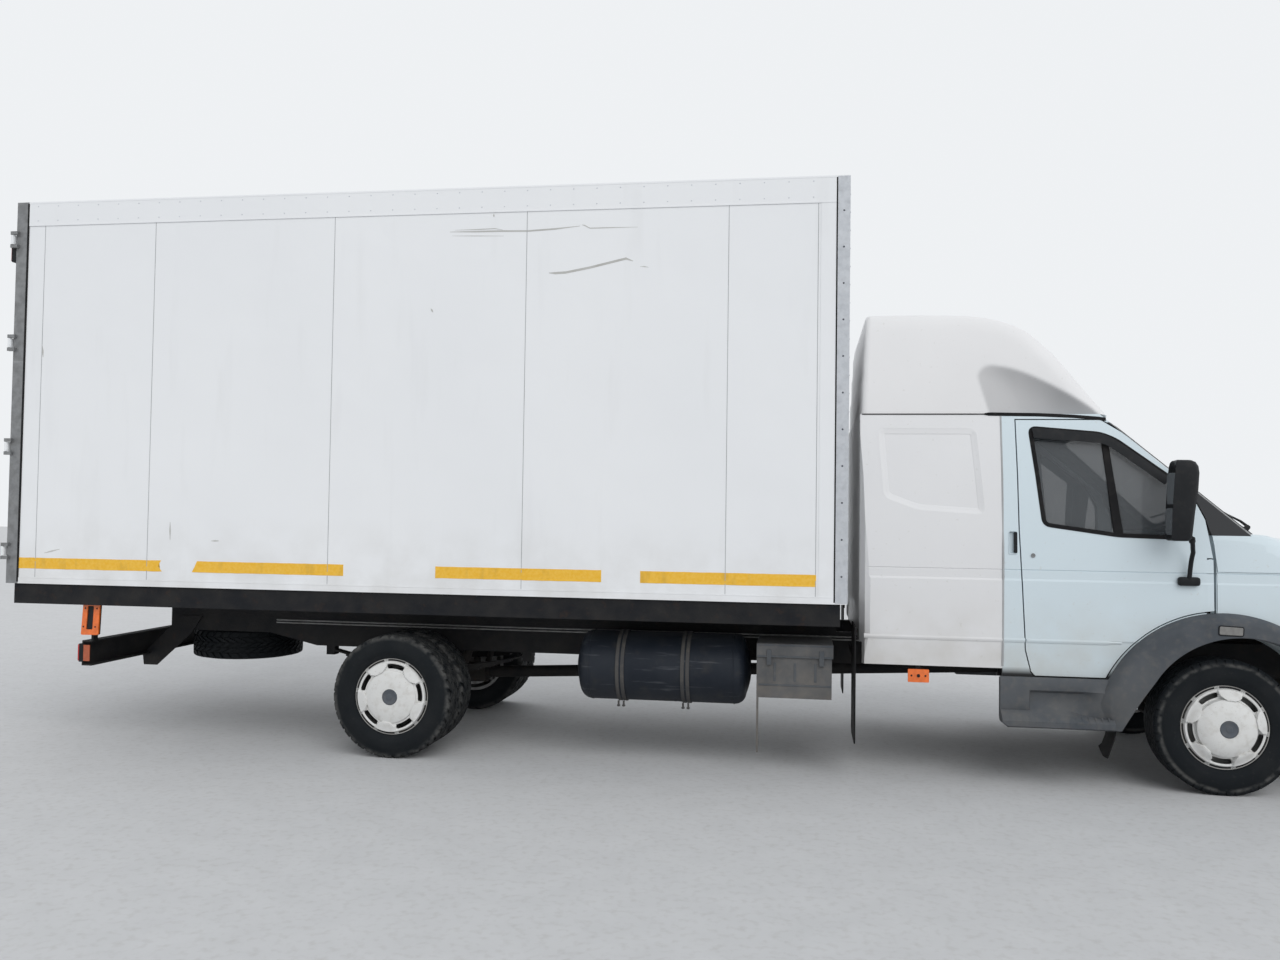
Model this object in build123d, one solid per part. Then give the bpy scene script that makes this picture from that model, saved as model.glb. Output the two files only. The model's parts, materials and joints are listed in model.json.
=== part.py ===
from build123d import *
import os
from math import cos, hypot, radians, sin

# A light box truck with a sleeper cab, a roof fairing and a long insulated box with two rear doors.
# It stands on its wheels on the plane z = 0. +X is forwards, +Y is the truck's left and +Z is up.
# Lengths are in millimetres, and the origin is on the ground at the middle of the length and width.
# Every STATION is a length measured from the front axle, forwards positive, and every Z a height.

# Overall layout
WHEELBASE = 4900
FRONT_OVERHANG = 1050
BOX_SETBACK = 2110          # front axle back to the box's front face
BOX_LENGTH = 5430
BOX_WIDTH = 2300
BOX_UNDERSIDE_Z = 1035
BOX_HEIGHT = 2515
GEAR_PROUD = 45             # how far the lock rods stand behind the rear doors

# Fits
SEAT = 0.3                  # gap between seated pieces
RUNNING = 0.3               # radial clearance of a shaft in its bore
SWING = 7                   # gap round a piece that swings

# Wheels
TYRE_RADIUS = 383.5
TYRE_WIDTH = 215
BEAD_RADIUS = 222
RIM_WIDTH = 165
RIM_WALL = 9
RIM_FLANGE = 12             # how far the rim's flange stands over the bead seat
SHOULDER = 14               # the tread's rounded shoulder
FRONT_TRACK = 1740
REAR_TRACK = 1700           # between the middles of the two pairs of twin wheels
TWIN_SPACING = 250          # between the middle planes of twin tyres
HUB_RADIUS = 70
FRONT_DISC_OUT = 30         # front disc's outer face outboard of the wheel's middle plane
COVER_RADIUS = 234
COVER_THICKNESS = 6
COVER_STEP = 180            # where the cover's dome rises from its flat ring
FRONT_COVER_DOME = 68
REAR_COVER_DOME = 36
COVER_SLOTS = 5
SLOT_RADIUS = 200
SLOT_WIDTH = 22
SLOT_HALF_ANGLE = 15
FRONT_SLOT_ANGLE = 50
REAR_SLOT_ANGLE = 90
LOBE = [(158, -34), (158, 34), (205, 56), (222, 50), (226, 0), (222, -50), (205, -56)]
LOBE_LIFT = 4
CAP_RADIUS = 50
SPINDLE_RADIUS = 30
SPINDLE_DEPTH = 60
REAR_SPINDLE_RADIUS = 38
BRAKE_RADIUS = 165
BRAKE_THICKNESS = 24
DRUM_RADIUS = 185
DRUM_DEPTH = 105

# Steering
KINGPIN_INSET = 95          # wheel's middle plane inboard to the kingpin
KINGPIN_RADIUS = 14
BEAM_BOSS_RADIUS = 28
BEAM_BOSS_HALF = 42
JAW_THICKNESS = 22
JAW_GAP = 1
KNUCKLE_FLANGE = 16
STEERING_ARM = 160          # kingpin back to the tie rod's pin
BEAM_TOP_Z = 352
TIE_ROD_RADIUS = 12
TIE_ROD_EYE = 19
TIE_PIN_RADIUS = 8

# Chassis
RAIL_SPACING = 860          # over the outer faces of the two frame rails
RAIL_TOP_Z = 800
RAIL_HEIGHT = 200
RAIL_TAIL_HEIGHT = 120
RAIL_FLANGE = 65
RAIL_WALL = 8
RAIL_FRONT_STATION = 900
RAIL_TAIL_STATION = -6050   # where the lower flange has risen for the tail
RAIL_TAPER = 350
RAIL_REAR_STATION = -6800
CROSSMEMBER_STATIONS = (865, -1000, -2300, -3700, -4450, -5350, -6080, -6770)
CROSSMEMBER_LENGTH = 60
CROSSMEMBER_HEIGHT = 96
TOW_EYE_WIDTH = 56
TOW_EYE_Z = 700
TOW_EYE_THICKNESS = 22
TOW_EYE_RADIUS = 13
TOW_EYE_END = 30
SUBFRAME_SIDE_HEIGHT = 130
SUBFRAME_SIDE_WIDTH = 45
CROSS_BEARERS = 12
CROSS_BEARER_WIDTH = 60
BEARER_HEIGHT = 90
SPRING_WIDTH = 70
LEAF_THICKNESS = 11
PINION_REACH = 300
GEARBOX_REAR_STATION = -1050
GEARBOX_Z = 560

# Box
WALL = 60
FLOOR_THICKNESS = 90
TOP_RAIL_HEIGHT = 158
BOTTOM_RAIL_HEIGHT = 40
FRONT_POST_LENGTH = 92
CORNER_ANGLE_LENGTH = 75
REAR_POST_LENGTH = 75
TRIM_PROUD = 4              # rails and posts stand this far outside the panels
REAR_FRAME_DEPTH = 86
REAR_POST_WIDTH = 90
REAR_HEADER_HEIGHT = 130
REAR_LIP = 20               # rebate that the rear doors close against
DOOR_LEAF = 60
BOX_DOOR_GAP = 7
PIN_BEHIND = 12
PIN_OUTBOARD = 14
PIN_RADIUS = 5
BARREL_RADIUS = 9
BARREL_HALF = 30
LUG_HEIGHT = 22
LUG_GAP = 2
BOX_HINGES = 4
BOX_HINGE_INSET = 120       # first and last hinge from the doorway's ends
STRAP_LENGTH = 330
STRAP_THICKNESS = 6
LOCK_ROD_RADIUS = 13
LOCK_ROD_OFF = 5            # gap between a lock rod and the door's face

# Cab
CAB_HALF_WIDTH = 985
CAB_SIDE = 50               # thickness of a door, a side or the rear wall
SILL_Z = 640
BELT_Z = 1250
SEAM_Z = 2168               # seam between the cab and the roof fairing
SEAM_HALF_WIDTH = 878
CAB_REAR_STATION = -2030
SLEEPER_FRONT_STATION = -1212
SLEEPER_SILL_Z = 676
FLOOR_Z = 830
CAB_FLOOR = 30
TOE_STATION = -480
FIREWALL_STATION = -110
FIREWALL_STEP_Z = 985
COWL_STATION = 232
COWL_Z = 1482
SCREEN_TOP = (-559, 2132)   # station and height of the windscreen's line at its outer edges
SCREEN_FOOT = (216, 1482)
SCREEN_EDGE_Y = 750
SCREEN_RADIUS = 3200        # the windscreen's bow across the cab
SCREEN_GLASS = 6
GLASS = 5
DOOR_INNER_Y = 830          # the doorway reaches in to here, short of the roof
HINGE_STATION = -80
HINGE_INSET = 22            # hinge axis inboard of the door's skin
HINGE_PIN = 6
HINGE_BARREL = 11
HINGE_HALF = 35
HINGE_SWEEP = 33            # round space that the door's front edge turns in
HINGE_ARM = 14              # width of the arms that reach round that space to the pins
HINGE_ZS = (1110, 1280)
HANDLE_STATIONS = (-1180, -1132)
HANDLE_Z = (1342, 1475)
FAIRING_TOP_Z = 2790
FAIRING_WALL = 14
NOSE_WALL = 30
ARCH_STATION = 60
ARCH_Z = 360
ARCH_RADIUS = 540
FLARE_STATION = -10
FLARE_Z = 345
FLARE_RADIUS = 685
FLARE_HALF_WIDTH = 1075
FLARE_SLOPE = 42            # how far the flare's outer edge lies inside its radius
LINER_WALL = 5
LINER_INNER_Y = 660
BUMPER_TOP_Z = 742
BUMPER_WALL = 25
WING_REAR_STATION = -47
WING_TOP_Z = 1422
COWL_UNDERSIDE_Z = 1372
BONNET_REAR_STATION = 309
BONNET_HINGE_Z = 1458
BONNET_HINGE_Y = 300
BONNET_FRONT_Z = 1088
BONNET_GAP = 7
MIRROR_HALF_WIDTH = 1215
COLUMN_REACH = 120

# Pieces hung on the chassis
TANK_STATIONS = (-3769, -2676)
TANK_RADIUS = 215
TANK_DOME = 100
TANK_CROWN = 400            # radius of the tank's dished ends
TANK_Y = -760
TANK_Z = 590
TANK_BANDS = (-3473, -3071)
BATTERY_STATIONS = (-2635, -2183)
BAR_HALF = 1080
SPARE_STATION = -6440
SPARE_Z = 572

# Places worked out from the sizes above
FRONT_AXLE = (BOX_SETBACK + BOX_LENGTH + GEAR_PROUD - FRONT_OVERHANG) / 2
REAR_AXLE = FRONT_AXLE - WHEELBASE
AXLE_Z = TYRE_RADIUS
BOX_FRONT = FRONT_AXLE - BOX_SETBACK
BOX_REAR = BOX_FRONT - BOX_LENGTH
BOX_TOP_Z = BOX_UNDERSIDE_Z + BOX_HEIGHT
BOX_SIDE = BOX_WIDTH / 2
BOX_INSIDE = BOX_SIDE - WALL
FRAME_REAR = BOX_REAR + SWING
CARGO_REAR = FRAME_REAR + REAR_FRAME_DEPTH
CARGO_FLOOR_Z = BOX_UNDERSIDE_Z + FLOOR_THICKNESS
RAIL_BOTTOM_Z = RAIL_TOP_Z - RAIL_HEIGHT
RAIL_SIDE = RAIL_SPACING / 2
KINGPIN_Y = FRONT_TRACK / 2 - KINGPIN_INSET
KNUCKLE_FACE = KINGPIN_Y + BEAM_BOSS_RADIUS + 8 + KNUCKLE_FLANGE

parts = {}


def at(station):
    """The x of a length measured from the front axle."""
    return FRONT_AXLE + station


def block(x0, x1, y0, y1, z0, z1):
    """A box between two corners."""
    middle = ((x0 + x1) / 2, (y0 + y1) / 2, (z0 + z1) / 2)
    return Pos(*middle) * Box(abs(x1 - x0), abs(y1 - y0), abs(z1 - z0))


def rod(start, end, radius):
    """A round bar between two points."""
    line = Vector(*end) - Vector(*start)
    return extrude(Plane(origin=start, z_dir=line) * Circle(radius), line.length)


def side_face(points, y=0):
    """A face drawn in the side view from (station, height) points. A point with a third entry is
    the middle of an arc between its neighbours."""
    edges = []
    count = len(points)
    for index, point in enumerate(points):
        before, after = points[index - 1], points[(index + 1) % count]
        here, to = (at(point[0]), y, point[1]), (at(after[0]), y, after[1])
        if len(point) == 3:
            edges.append(ThreePointArc((at(before[0]), y, before[1]), here, to))
        elif len(after) == 2:
            edges.append(Line(here, to))
    return make_face(edges)


def side_prism(points, y0, y1, inset=0):
    """A side-view outline between two widths, shrunk all round by inset."""
    face = side_face(points, min(y0, y1))
    if inset:
        face = shrunk(face, inset)
    return extrude(face, abs(y1 - y0), dir=(0, 1, 0))


def shrunk(face, inset):
    """A face with its outline moved inwards."""
    return offset(face, -inset, kind=Kind.INTERSECTION)


def front_prism(points, station0, station1, inset=0):
    """An outline of (half width, height) points, mirrored about the middle, between two stations."""
    loop = [(at(station0), y, z) for y, z in points]
    loop += [(at(station0), -y, z) for y, z in reversed(points) if y]
    face = make_face(Polyline(*loop, close=True))
    if inset:
        face = shrunk(face, inset)
    return extrude(face, station1 - station0, dir=(1, 0, 0))


def plan_prism(points, z0, z1, inset=0):
    """An outline of (station, half width) points, mirrored about the middle, between two heights."""
    loop = [(at(x), y, z0) for x, y in points]
    loop += [(at(x), -y, z0) for x, y in reversed(points) if y]
    face = make_face(Polyline(*loop, close=True))
    if inset:
        face = shrunk(face, inset)
    return extrude(face, z1 - z0, dir=(0, 0, 1))


def mirrored(shape):
    """The same shape on the truck's other side."""
    return mirror(shape, about=Plane.XZ)


def group(*shapes):
    """Several solids as one node."""
    solids = []
    for shape in shapes:
        solids += list(shape.solids())
    return Compound(children=solids)


def both(shape):
    """A piece and its mirror image as one node."""
    return group(shape, mirrored(shape))


def turned(points):
    """A closed profile of (radius, height) points, turned about the Z axis."""
    return revolve(make_face(Polyline(*[(r, 0, h) for r, h in points], close=True)), Axis.Z)


def wheel_place(x, y, side):
    """Stands a turned shape on its axle, with +Z pointing outboard."""
    return Plane(origin=(x, y, AXLE_Z), x_dir=(1, 0, 0), z_dir=(0, side, 0))


def tyre():
    """A tyre turned about Z with bulged side walls and rounded shoulders."""
    half = TYRE_WIDTH / 2
    rim_half = RIM_WIDTH / 2
    bead = BEAD_RADIUS + SEAT
    lip = BEAD_RADIUS + RIM_FLANGE + 2
    waist = (lip + TYRE_RADIUS) / 2
    edges = [Line((bead, 0, -rim_half + 14), (bead, 0, rim_half - 14))]
    for way in (1, -1):
        path = [(bead, rim_half - 14), (lip, rim_half - 10), (lip, half - 20), (waist, half),
                (TYRE_RADIUS - SHOULDER, half - SHOULDER), (TYRE_RADIUS - 4, half - SHOULDER - 4),
                (TYRE_RADIUS, half - 2 * SHOULDER)]
        path = [(r, 0, way * h) for r, h in path]
        edges += [Line(path[0], path[1]), Line(path[1], path[2]),
                  ThreePointArc(path[2], path[3], path[4]), ThreePointArc(*path[4:7])]
    edges.append(Line((TYRE_RADIUS, 0, half - 2 * SHOULDER), (TYRE_RADIUS, 0, 2 * SHOULDER - half)))
    return revolve(make_face(edges), Axis.Z)


def rim_barrel():
    """The part of a rim that the tyre sits on."""
    half = RIM_WIDTH / 2
    inside = BEAD_RADIUS - RIM_WALL
    flange = BEAD_RADIUS + RIM_FLANGE
    return turned([(inside, -half), (flange, -half), (flange, 8 - half), (BEAD_RADIUS, 12 - half),
                   (BEAD_RADIUS, half - 12), (flange, half - 8), (flange, half), (inside, half)])


def front_wheel_hub():
    """Rim, disc, hub and brake disc of a front wheel, turned about Z."""
    inside = BEAD_RADIUS - RIM_WALL
    back = KNUCKLE_FACE + 2 - FRONT_TRACK / 2
    disc = turned([(HUB_RADIUS, FRONT_DISC_OUT), (inside, FRONT_DISC_OUT - 12),
                   (inside, FRONT_DISC_OUT - 12 - RIM_WALL), (HUB_RADIUS, FRONT_DISC_OUT - RIM_WALL)])
    hub = Pos(0, 0, back) * extrude(Circle(HUB_RADIUS + 2), FRONT_DISC_OUT + 25 - back)
    brake = Pos(0, 0, back + 6) * extrude(Circle(BRAKE_RADIUS), BRAKE_THICKNESS)
    bore = Pos(0, 0, back - 1) * extrude(Circle(SPINDLE_RADIUS + RUNNING), SPINDLE_DEPTH)
    return rim_barrel() + disc + hub + brake - bore


def rear_wheel_hub():
    """Twin rims, their dished discs, hub and brake drum, turned about Z."""
    inside = BEAD_RADIUS - RIM_WALL
    shift = TWIN_SPACING / 2
    near = shift - RIM_WIDTH / 2
    dish = turned([(HUB_RADIUS, 0), (HUB_RADIUS, RIM_WALL), (inside - 30, RIM_WALL),
                   (inside, near + 34), (inside, near + 20), (inside - 26, 0)])
    outer = Pos(0, 0, shift) * rim_barrel() + dish
    inner = mirror(outer, about=Plane.XY)
    back = -shift - RIM_WIDTH / 2 - 12
    hub = Pos(0, 0, back) * extrude(Circle(HUB_RADIUS + 2), 70 - back)
    drum = Pos(0, 0, back) * extrude(Circle(DRUM_RADIUS), DRUM_DEPTH)
    bore = Pos(0, 0, back - 1) * extrude(Circle(REAR_SPINDLE_RADIUS + RUNNING), SPINDLE_DEPTH * 2)
    return outer + inner + hub + drum - bore


def cover_outline(dome, lift=0):
    """A solid of revolution up to the cover's outer face, which is moved outwards by lift."""
    rim, step = COVER_RADIUS - lift, COVER_STEP
    shoulder = 0.45 * dome
    edges = [Line((0, 0, -lift), (rim, 0, -lift)), Line((rim, 0, -lift), (rim - 3, 0, 10 + lift)),
             Line((rim - 3, 0, 10 + lift), (rim - 12, 0, 13 + lift)),
             Line((rim - 12, 0, 13 + lift), (step + 3, 0, 14 + lift)), Line((step + 3, 0, 14 + lift), (step, 0, shoulder + lift)),
             ThreePointArc((step, 0, shoulder + lift), (0.66 * step, 0, 0.86 * dome + lift), (CAP_RADIUS, 0, dome + lift)),
             Line((CAP_RADIUS, 0, dome + lift), (CAP_RADIUS - 2, 0, dome - 4 + lift)),
             Line((CAP_RADIUS - 2, 0, dome - 4 + lift), (0, 0, dome - 4 + lift)), Line((0, 0, dome - 4 + lift), (0, 0, -lift))]
    return revolve(make_face(edges), Axis.Z)


def hub_cover(dome, first_slot):
    """A domed cover over a wheel's rim with raised lobes between five slots, its rim at z = 0."""
    outside = cover_outline(dome)
    lobe = make_face(Polyline(*LOBE, close=True))
    lobe = extrude(fillet(lobe.vertices(), 12), dome + 40)
    slot = extrude(SlotArc(CenterArc((0, 0), SLOT_RADIUS, -SLOT_HALF_ANGLE, 2 * SLOT_HALF_ANGLE), SLOT_WIDTH), dome + 40)
    pitch = 360 / COVER_SLOTS
    lobes = slots = None
    for index in range(COVER_SLOTS):
        here = Rot(0, 0, first_slot + index * pitch)
        pad, hole = Rot(0, 0, pitch / 2) * here * lobe, here * slot
        lobes = pad if lobes is None else lobes + pad
        slots = hole if slots is None else slots + hole
    inside = Pos(0, 0, -COVER_THICKNESS) * outside
    inside &= extrude(Pos(0, 0, -2 * COVER_THICKNESS) * Circle(COVER_RADIUS - COVER_THICKNESS), dome + 60)
    return outside + (cover_outline(dome, LOBE_LIFT) & lobes) - inside - slots


def wheels():
    """Tyres, rims with hubs, and covers of the four corners."""
    face = RIM_WIDTH / 2 + SEAT
    for side, word in ((1, "left"), (-1, "right")):
        place = wheel_place(FRONT_AXLE, side * FRONT_TRACK / 2, side)
        parts[f"front_tyre_{word}"] = place * tyre()
        parts[f"front_rim_{word}"] = place * front_wheel_hub()
        parts[f"front_cover_{word}"] = place * (Pos(0, 0, face) * hub_cover(FRONT_COVER_DOME, FRONT_SLOT_ANGLE))
        place = wheel_place(REAR_AXLE, side * REAR_TRACK / 2, side)
        shift = TWIN_SPACING / 2
        parts[f"rear_tyres_{word}"] = group(*[place * (Pos(0, 0, z) * tyre()) for z in (shift, -shift)])
        parts[f"rear_rims_{word}"] = place * rear_wheel_hub()
        cover = hub_cover(REAR_COVER_DOME, REAR_SLOT_ANGLE)
        parts[f"rear_cover_{word}"] = place * (Pos(0, 0, shift + face) * cover)


def steering():
    """Front axle beam, knuckles and tie rod."""
    x = FRONT_AXLE
    boss_z0, boss_z1 = AXLE_Z - BEAM_BOSS_HALF, AXLE_Z + BEAM_BOSS_HALF
    beam = front_prism([(0, 300), (560, 300), (KINGPIN_Y - 50, boss_z0), (KINGPIN_Y - 10, boss_z0),
                        (KINGPIN_Y - 10, boss_z0 + 60), (560, BEAM_TOP_Z), (0, BEAM_TOP_Z)], -38, 38)
    for side in (1, -1):
        y = side * KINGPIN_Y
        beam += rod((x, y, boss_z0), (x, y, boss_z1), BEAM_BOSS_RADIUS)
    for side, word in ((1, "left"), (-1, "right")):
        y = side * KINGPIN_Y
        beam -= rod((x, y, boss_z0 - 1), (x, y, boss_z1 + 1), KINGPIN_RADIUS + RUNNING)
        face = side * KNUCKLE_FACE
        inner = face - side * KNUCKLE_FLANGE
        jaw_low, jaw_high = boss_z0 - JAW_GAP, boss_z1 + JAW_GAP
        body = block(x - 60, x + 60, inner, face, jaw_low - JAW_THICKNESS, jaw_high + JAW_THICKNESS)
        for z in (jaw_low - JAW_THICKNESS, jaw_high):
            body += block(x - 28, x + 28, y, inner, z, z + JAW_THICKNESS)
            body += rod((x, y, z), (x, y, z + JAW_THICKNESS), 28)
        body += rod((x, y, jaw_low - 2), (x, y, jaw_high + 2), KINGPIN_RADIUS)
        body += rod((x, face - side * 2, AXLE_Z), (x, face + side * (SPINDLE_DEPTH - 6), AXLE_Z), SPINDLE_RADIUS)
        pin_x = x - STEERING_ARM
        arm_z = jaw_low - JAW_THICKNESS
        body += block(pin_x, x, y - 17, y + 17, arm_z, arm_z + 20)
        body += rod((pin_x, y, arm_z), (pin_x, y, arm_z + 20), 20)
        body += rod((pin_x, y, arm_z - 34), (pin_x, y, arm_z), TIE_PIN_RADIUS)
        parts[f"knuckle_{word}"] = body
    parts["front_axle_beam"] = beam
    pin_x = x - STEERING_ARM
    eye_z = arm_z - 2
    rod_z = eye_z - 14
    tie = rod((pin_x, -KINGPIN_Y, rod_z), (pin_x, KINGPIN_Y, rod_z), TIE_ROD_RADIUS)
    for side in (1, -1):
        y = side * KINGPIN_Y
        tie += rod((pin_x, y, eye_z - 28), (pin_x, y, eye_z), TIE_ROD_EYE)
    for side in (1, -1):
        y = side * KINGPIN_Y
        tie -= rod((pin_x, y, eye_z - 40), (pin_x, y, eye_z + 1), TIE_PIN_RADIUS + RUNNING)
    parts["tie_rod"] = tie


def leaf_spring(station, half, axle_z, leaves, eye_z):
    """A stack of leaves, bowed from the axle's seat up to its eyes, on the truck's left."""
    y0 = RAIL_SIDE - 2 - SPRING_WIDTH
    stack = None
    for index in range(leaves):
        reach = half * (1 - 0.16 * index)
        drop = index * LEAF_THICKNESS
        rise = (eye_z - axle_z) * (reach / half) ** 2
        top = axle_z + (leaves - index) * LEAF_THICKNESS
        low = top - LEAF_THICKNESS
        leaf = side_prism([(station - reach, low + rise), (station, low, "arc"), (station + reach, low + rise),
                           (station + reach, top + rise), (station, top, "arc"), (station - reach, top + rise)],
                          y0, y0 + SPRING_WIDTH)
        stack = leaf if stack is None else stack + leaf
    return stack


def shaft_way():
    """The propeller shaft's direction, from the rear axle up to the gearbox."""
    return Vector(GEARBOX_REAR_STATION + WHEELBASE, 0, GEARBOX_Z - AXLE_Z).normalized()


def running_gear():
    """Springs, rear axle and propeller shaft."""
    front = leaf_spring(0, 620, BEAM_TOP_Z + SEAT, 3, 480)
    tube_top = AXLE_Z + 62
    rear = leaf_spring(-WHEELBASE, 700, tube_top + SEAT, 4, 540)
    hangers = None
    for station, eye_z, drop in ((620, 480, 0), (-620, 480, 0), (700 - WHEELBASE, 540, 0), (-700 - WHEELBASE, 540, 0)):
        x = at(station)
        y1 = RAIL_SIDE - 2
        top = RAIL_BOTTOM_Z - SEAT
        hanger = block(x - 30, x + 30, y1 - SPRING_WIDTH, y1, eye_z, top)
        hangers = hanger if hangers is None else hangers + hanger
    parts["leaf_springs"] = both(front + rear + hangers)
    inboard = REAR_TRACK / 2 - TWIN_SPACING / 2 - RIM_WIDTH / 2 - 12 - 4
    housing = rod((REAR_AXLE, -inboard, AXLE_Z), (REAR_AXLE, inboard, AXLE_Z), 58)
    tip = inboard + SPINDLE_DEPTH * 2 - 8
    housing += rod((REAR_AXLE, -tip, AXLE_Z), (REAR_AXLE, tip, AXLE_Z), REAR_SPINDLE_RADIUS)
    banjo = Pos(REAR_AXLE, 0, AXLE_Z) * Sphere(165)
    banjo = banjo & block(REAR_AXLE - 150, REAR_AXLE + 160, -130, 130, 200, 600)
    centre = Vector(REAR_AXLE, 0, AXLE_Z)
    gearbox = Vector(at(GEARBOX_REAR_STATION), 0, GEARBOX_Z)
    way = shaft_way()
    nose = rod(tuple(centre + way * 120), tuple(centre + way * PINION_REACH), 70)
    pads = None
    for side in (1, -1):
        y = side * (RAIL_SIDE - 2 - SPRING_WIDTH / 2)
        pad = block(REAR_AXLE - 60, REAR_AXLE + 60, y - 40, y + 40, AXLE_Z, tube_top)
        pads = pad if pads is None else pads + pad
    parts["rear_axle"] = housing + banjo + nose + pads
    shaft = rod(tuple(centre + way * (PINION_REACH + SEAT)), tuple(gearbox - way * SEAT), 40)
    for back in (centre + way * (PINION_REACH + SEAT), gearbox - way * (SEAT + 30)):
        shaft += rod(tuple(back), tuple(back + way * 30), 62)
    parts["propshaft"] = shaft


def rail_outline(extra):
    """A frame rail's side view, with both of its ends moved outwards by extra."""
    rear, front = RAIL_REAR_STATION - extra, RAIL_FRONT_STATION + extra
    tail_z = RAIL_TOP_Z - RAIL_TAIL_HEIGHT
    return [(rear, tail_z), (RAIL_TAIL_STATION, tail_z), (RAIL_TAIL_STATION + RAIL_TAPER, RAIL_BOTTOM_Z),
            (front, RAIL_BOTTOM_Z), (front, RAIL_TOP_Z), (rear, RAIL_TOP_Z)]


def frame_rails():
    """Two channel rails with a raised tail, joined by crossmembers."""
    web = side_prism(rail_outline(0), RAIL_SIDE - RAIL_FLANGE, RAIL_SIDE)
    pocket = side_prism(rail_outline(2 * RAIL_WALL), RAIL_SIDE - RAIL_FLANGE - 1, RAIL_SIDE - RAIL_WALL, inset=RAIL_WALL)
    parts["frame_rails"] = both(web - pocket)
    reach = RAIL_SIDE - RAIL_WALL - SEAT
    top = RAIL_TOP_Z - RAIL_WALL - SEAT
    low = top - CROSSMEMBER_HEIGHT
    members = [block(at(station) - CROSSMEMBER_LENGTH / 2, at(station) + CROSSMEMBER_LENGTH / 2, -reach, reach, low, top)
               for station in CROSSMEMBER_STATIONS]
    x = at(SPARE_STATION)
    carrier = block(x - 60, x + 60, -reach, reach, RAIL_TOP_Z - RAIL_TAIL_HEIGHT + RAIL_WALL + 2, top)
    carrier += block(x - 60, x + 60, -300, 300, SPARE_Z + TYRE_WIDTH / 2 + SEAT, top)
    members.append(carrier)
    for x0, x1, y in tow_eyes():
        plate = block(x0, x1, y - TOW_EYE_WIDTH / 2, y + TOW_EYE_WIDTH / 2, TOW_EYE_Z, TOW_EYE_Z + TOW_EYE_THICKNESS)
        eye_x = x1 - TOW_EYE_END if x1 > 0 else x0 + TOW_EYE_END
        plate -= rod((eye_x, y, TOW_EYE_Z - 1), (eye_x, y, TOW_EYE_Z + TOW_EYE_THICKNESS + 1), TOW_EYE_RADIUS)
        index = 0 if x1 > 0 else len(CROSSMEMBER_STATIONS) - 1
        members[index] += plate
    parts["crossmembers"] = group(*members)


def tow_eyes():
    """Rear end, front end and middle width of each tow eye's plate."""
    side = RAIL_SIDE - TOW_EYE_WIDTH / 2 - RAIL_WALL
    front = (at(RAIL_FRONT_STATION) - 90, at(RAIL_FRONT_STATION) + 60)
    rear = (at(RAIL_REAR_STATION) - 100, at(RAIL_REAR_STATION) + 40)
    return [(*front, side), (*front, -side), (*rear, 0)]


def box_subframe():
    """Runners on the rails, cross bearers on the runners and side members that carry the box."""
    z0 = RAIL_TOP_Z + SEAT
    z2 = BOX_UNDERSIDE_Z - SEAT
    z1 = z2 - BEARER_HEIGHT
    x0, x1 = BOX_REAR + 60, BOX_FRONT - 40
    side_y1 = BOX_SIDE - 15
    side_y0 = side_y1 - SUBFRAME_SIDE_WIDTH
    bars = []
    for side in (1, -1):
        bars.append(block(at(RAIL_REAR_STATION), x1, side * (RAIL_SIDE - RAIL_FLANGE), side * RAIL_SIDE, z0, z1 - SEAT))
        bars.append(block(x0, x1, side * side_y0, side * side_y1, z2 - SUBFRAME_SIDE_HEIGHT, z2))
    pitch = (x1 - x0 - CROSS_BEARER_WIDTH) / (CROSS_BEARERS - 1)
    reach = side_y0 - SEAT
    for index in range(CROSS_BEARERS):
        x = x0 + index * pitch
        bars.append(block(x, x + CROSS_BEARER_WIDTH, -reach, reach, z1, z2))
    parts["box_subframe"] = group(*bars)


def side_wall():
    """The left wall of the box as one sandwich panel with its edge rails and posts."""
    skin = BOX_SIDE - TRIM_PROUD
    x0, x1 = CARGO_REAR, BOX_FRONT
    z0, z1 = BOX_UNDERSIDE_Z, BOX_TOP_Z
    wall = block(x0, x1, BOX_INSIDE, skin, z0, z1)
    wall += block(x0, x1, skin, BOX_SIDE, z1 - TOP_RAIL_HEIGHT, z1)
    wall += block(x0, x1, skin, BOX_SIDE, z0, z0 + BOTTOM_RAIL_HEIGHT)
    wall += block(x1 - CORNER_ANGLE_LENGTH, x1, skin, BOX_SIDE, z0, z1)
    post = x1 - CORNER_ANGLE_LENGTH - FRONT_POST_LENGTH
    wall += block(post, x1 - CORNER_ANGLE_LENGTH - TRIM_PROUD, skin, BOX_SIDE - 1, z0, z1)
    return wall


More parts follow.
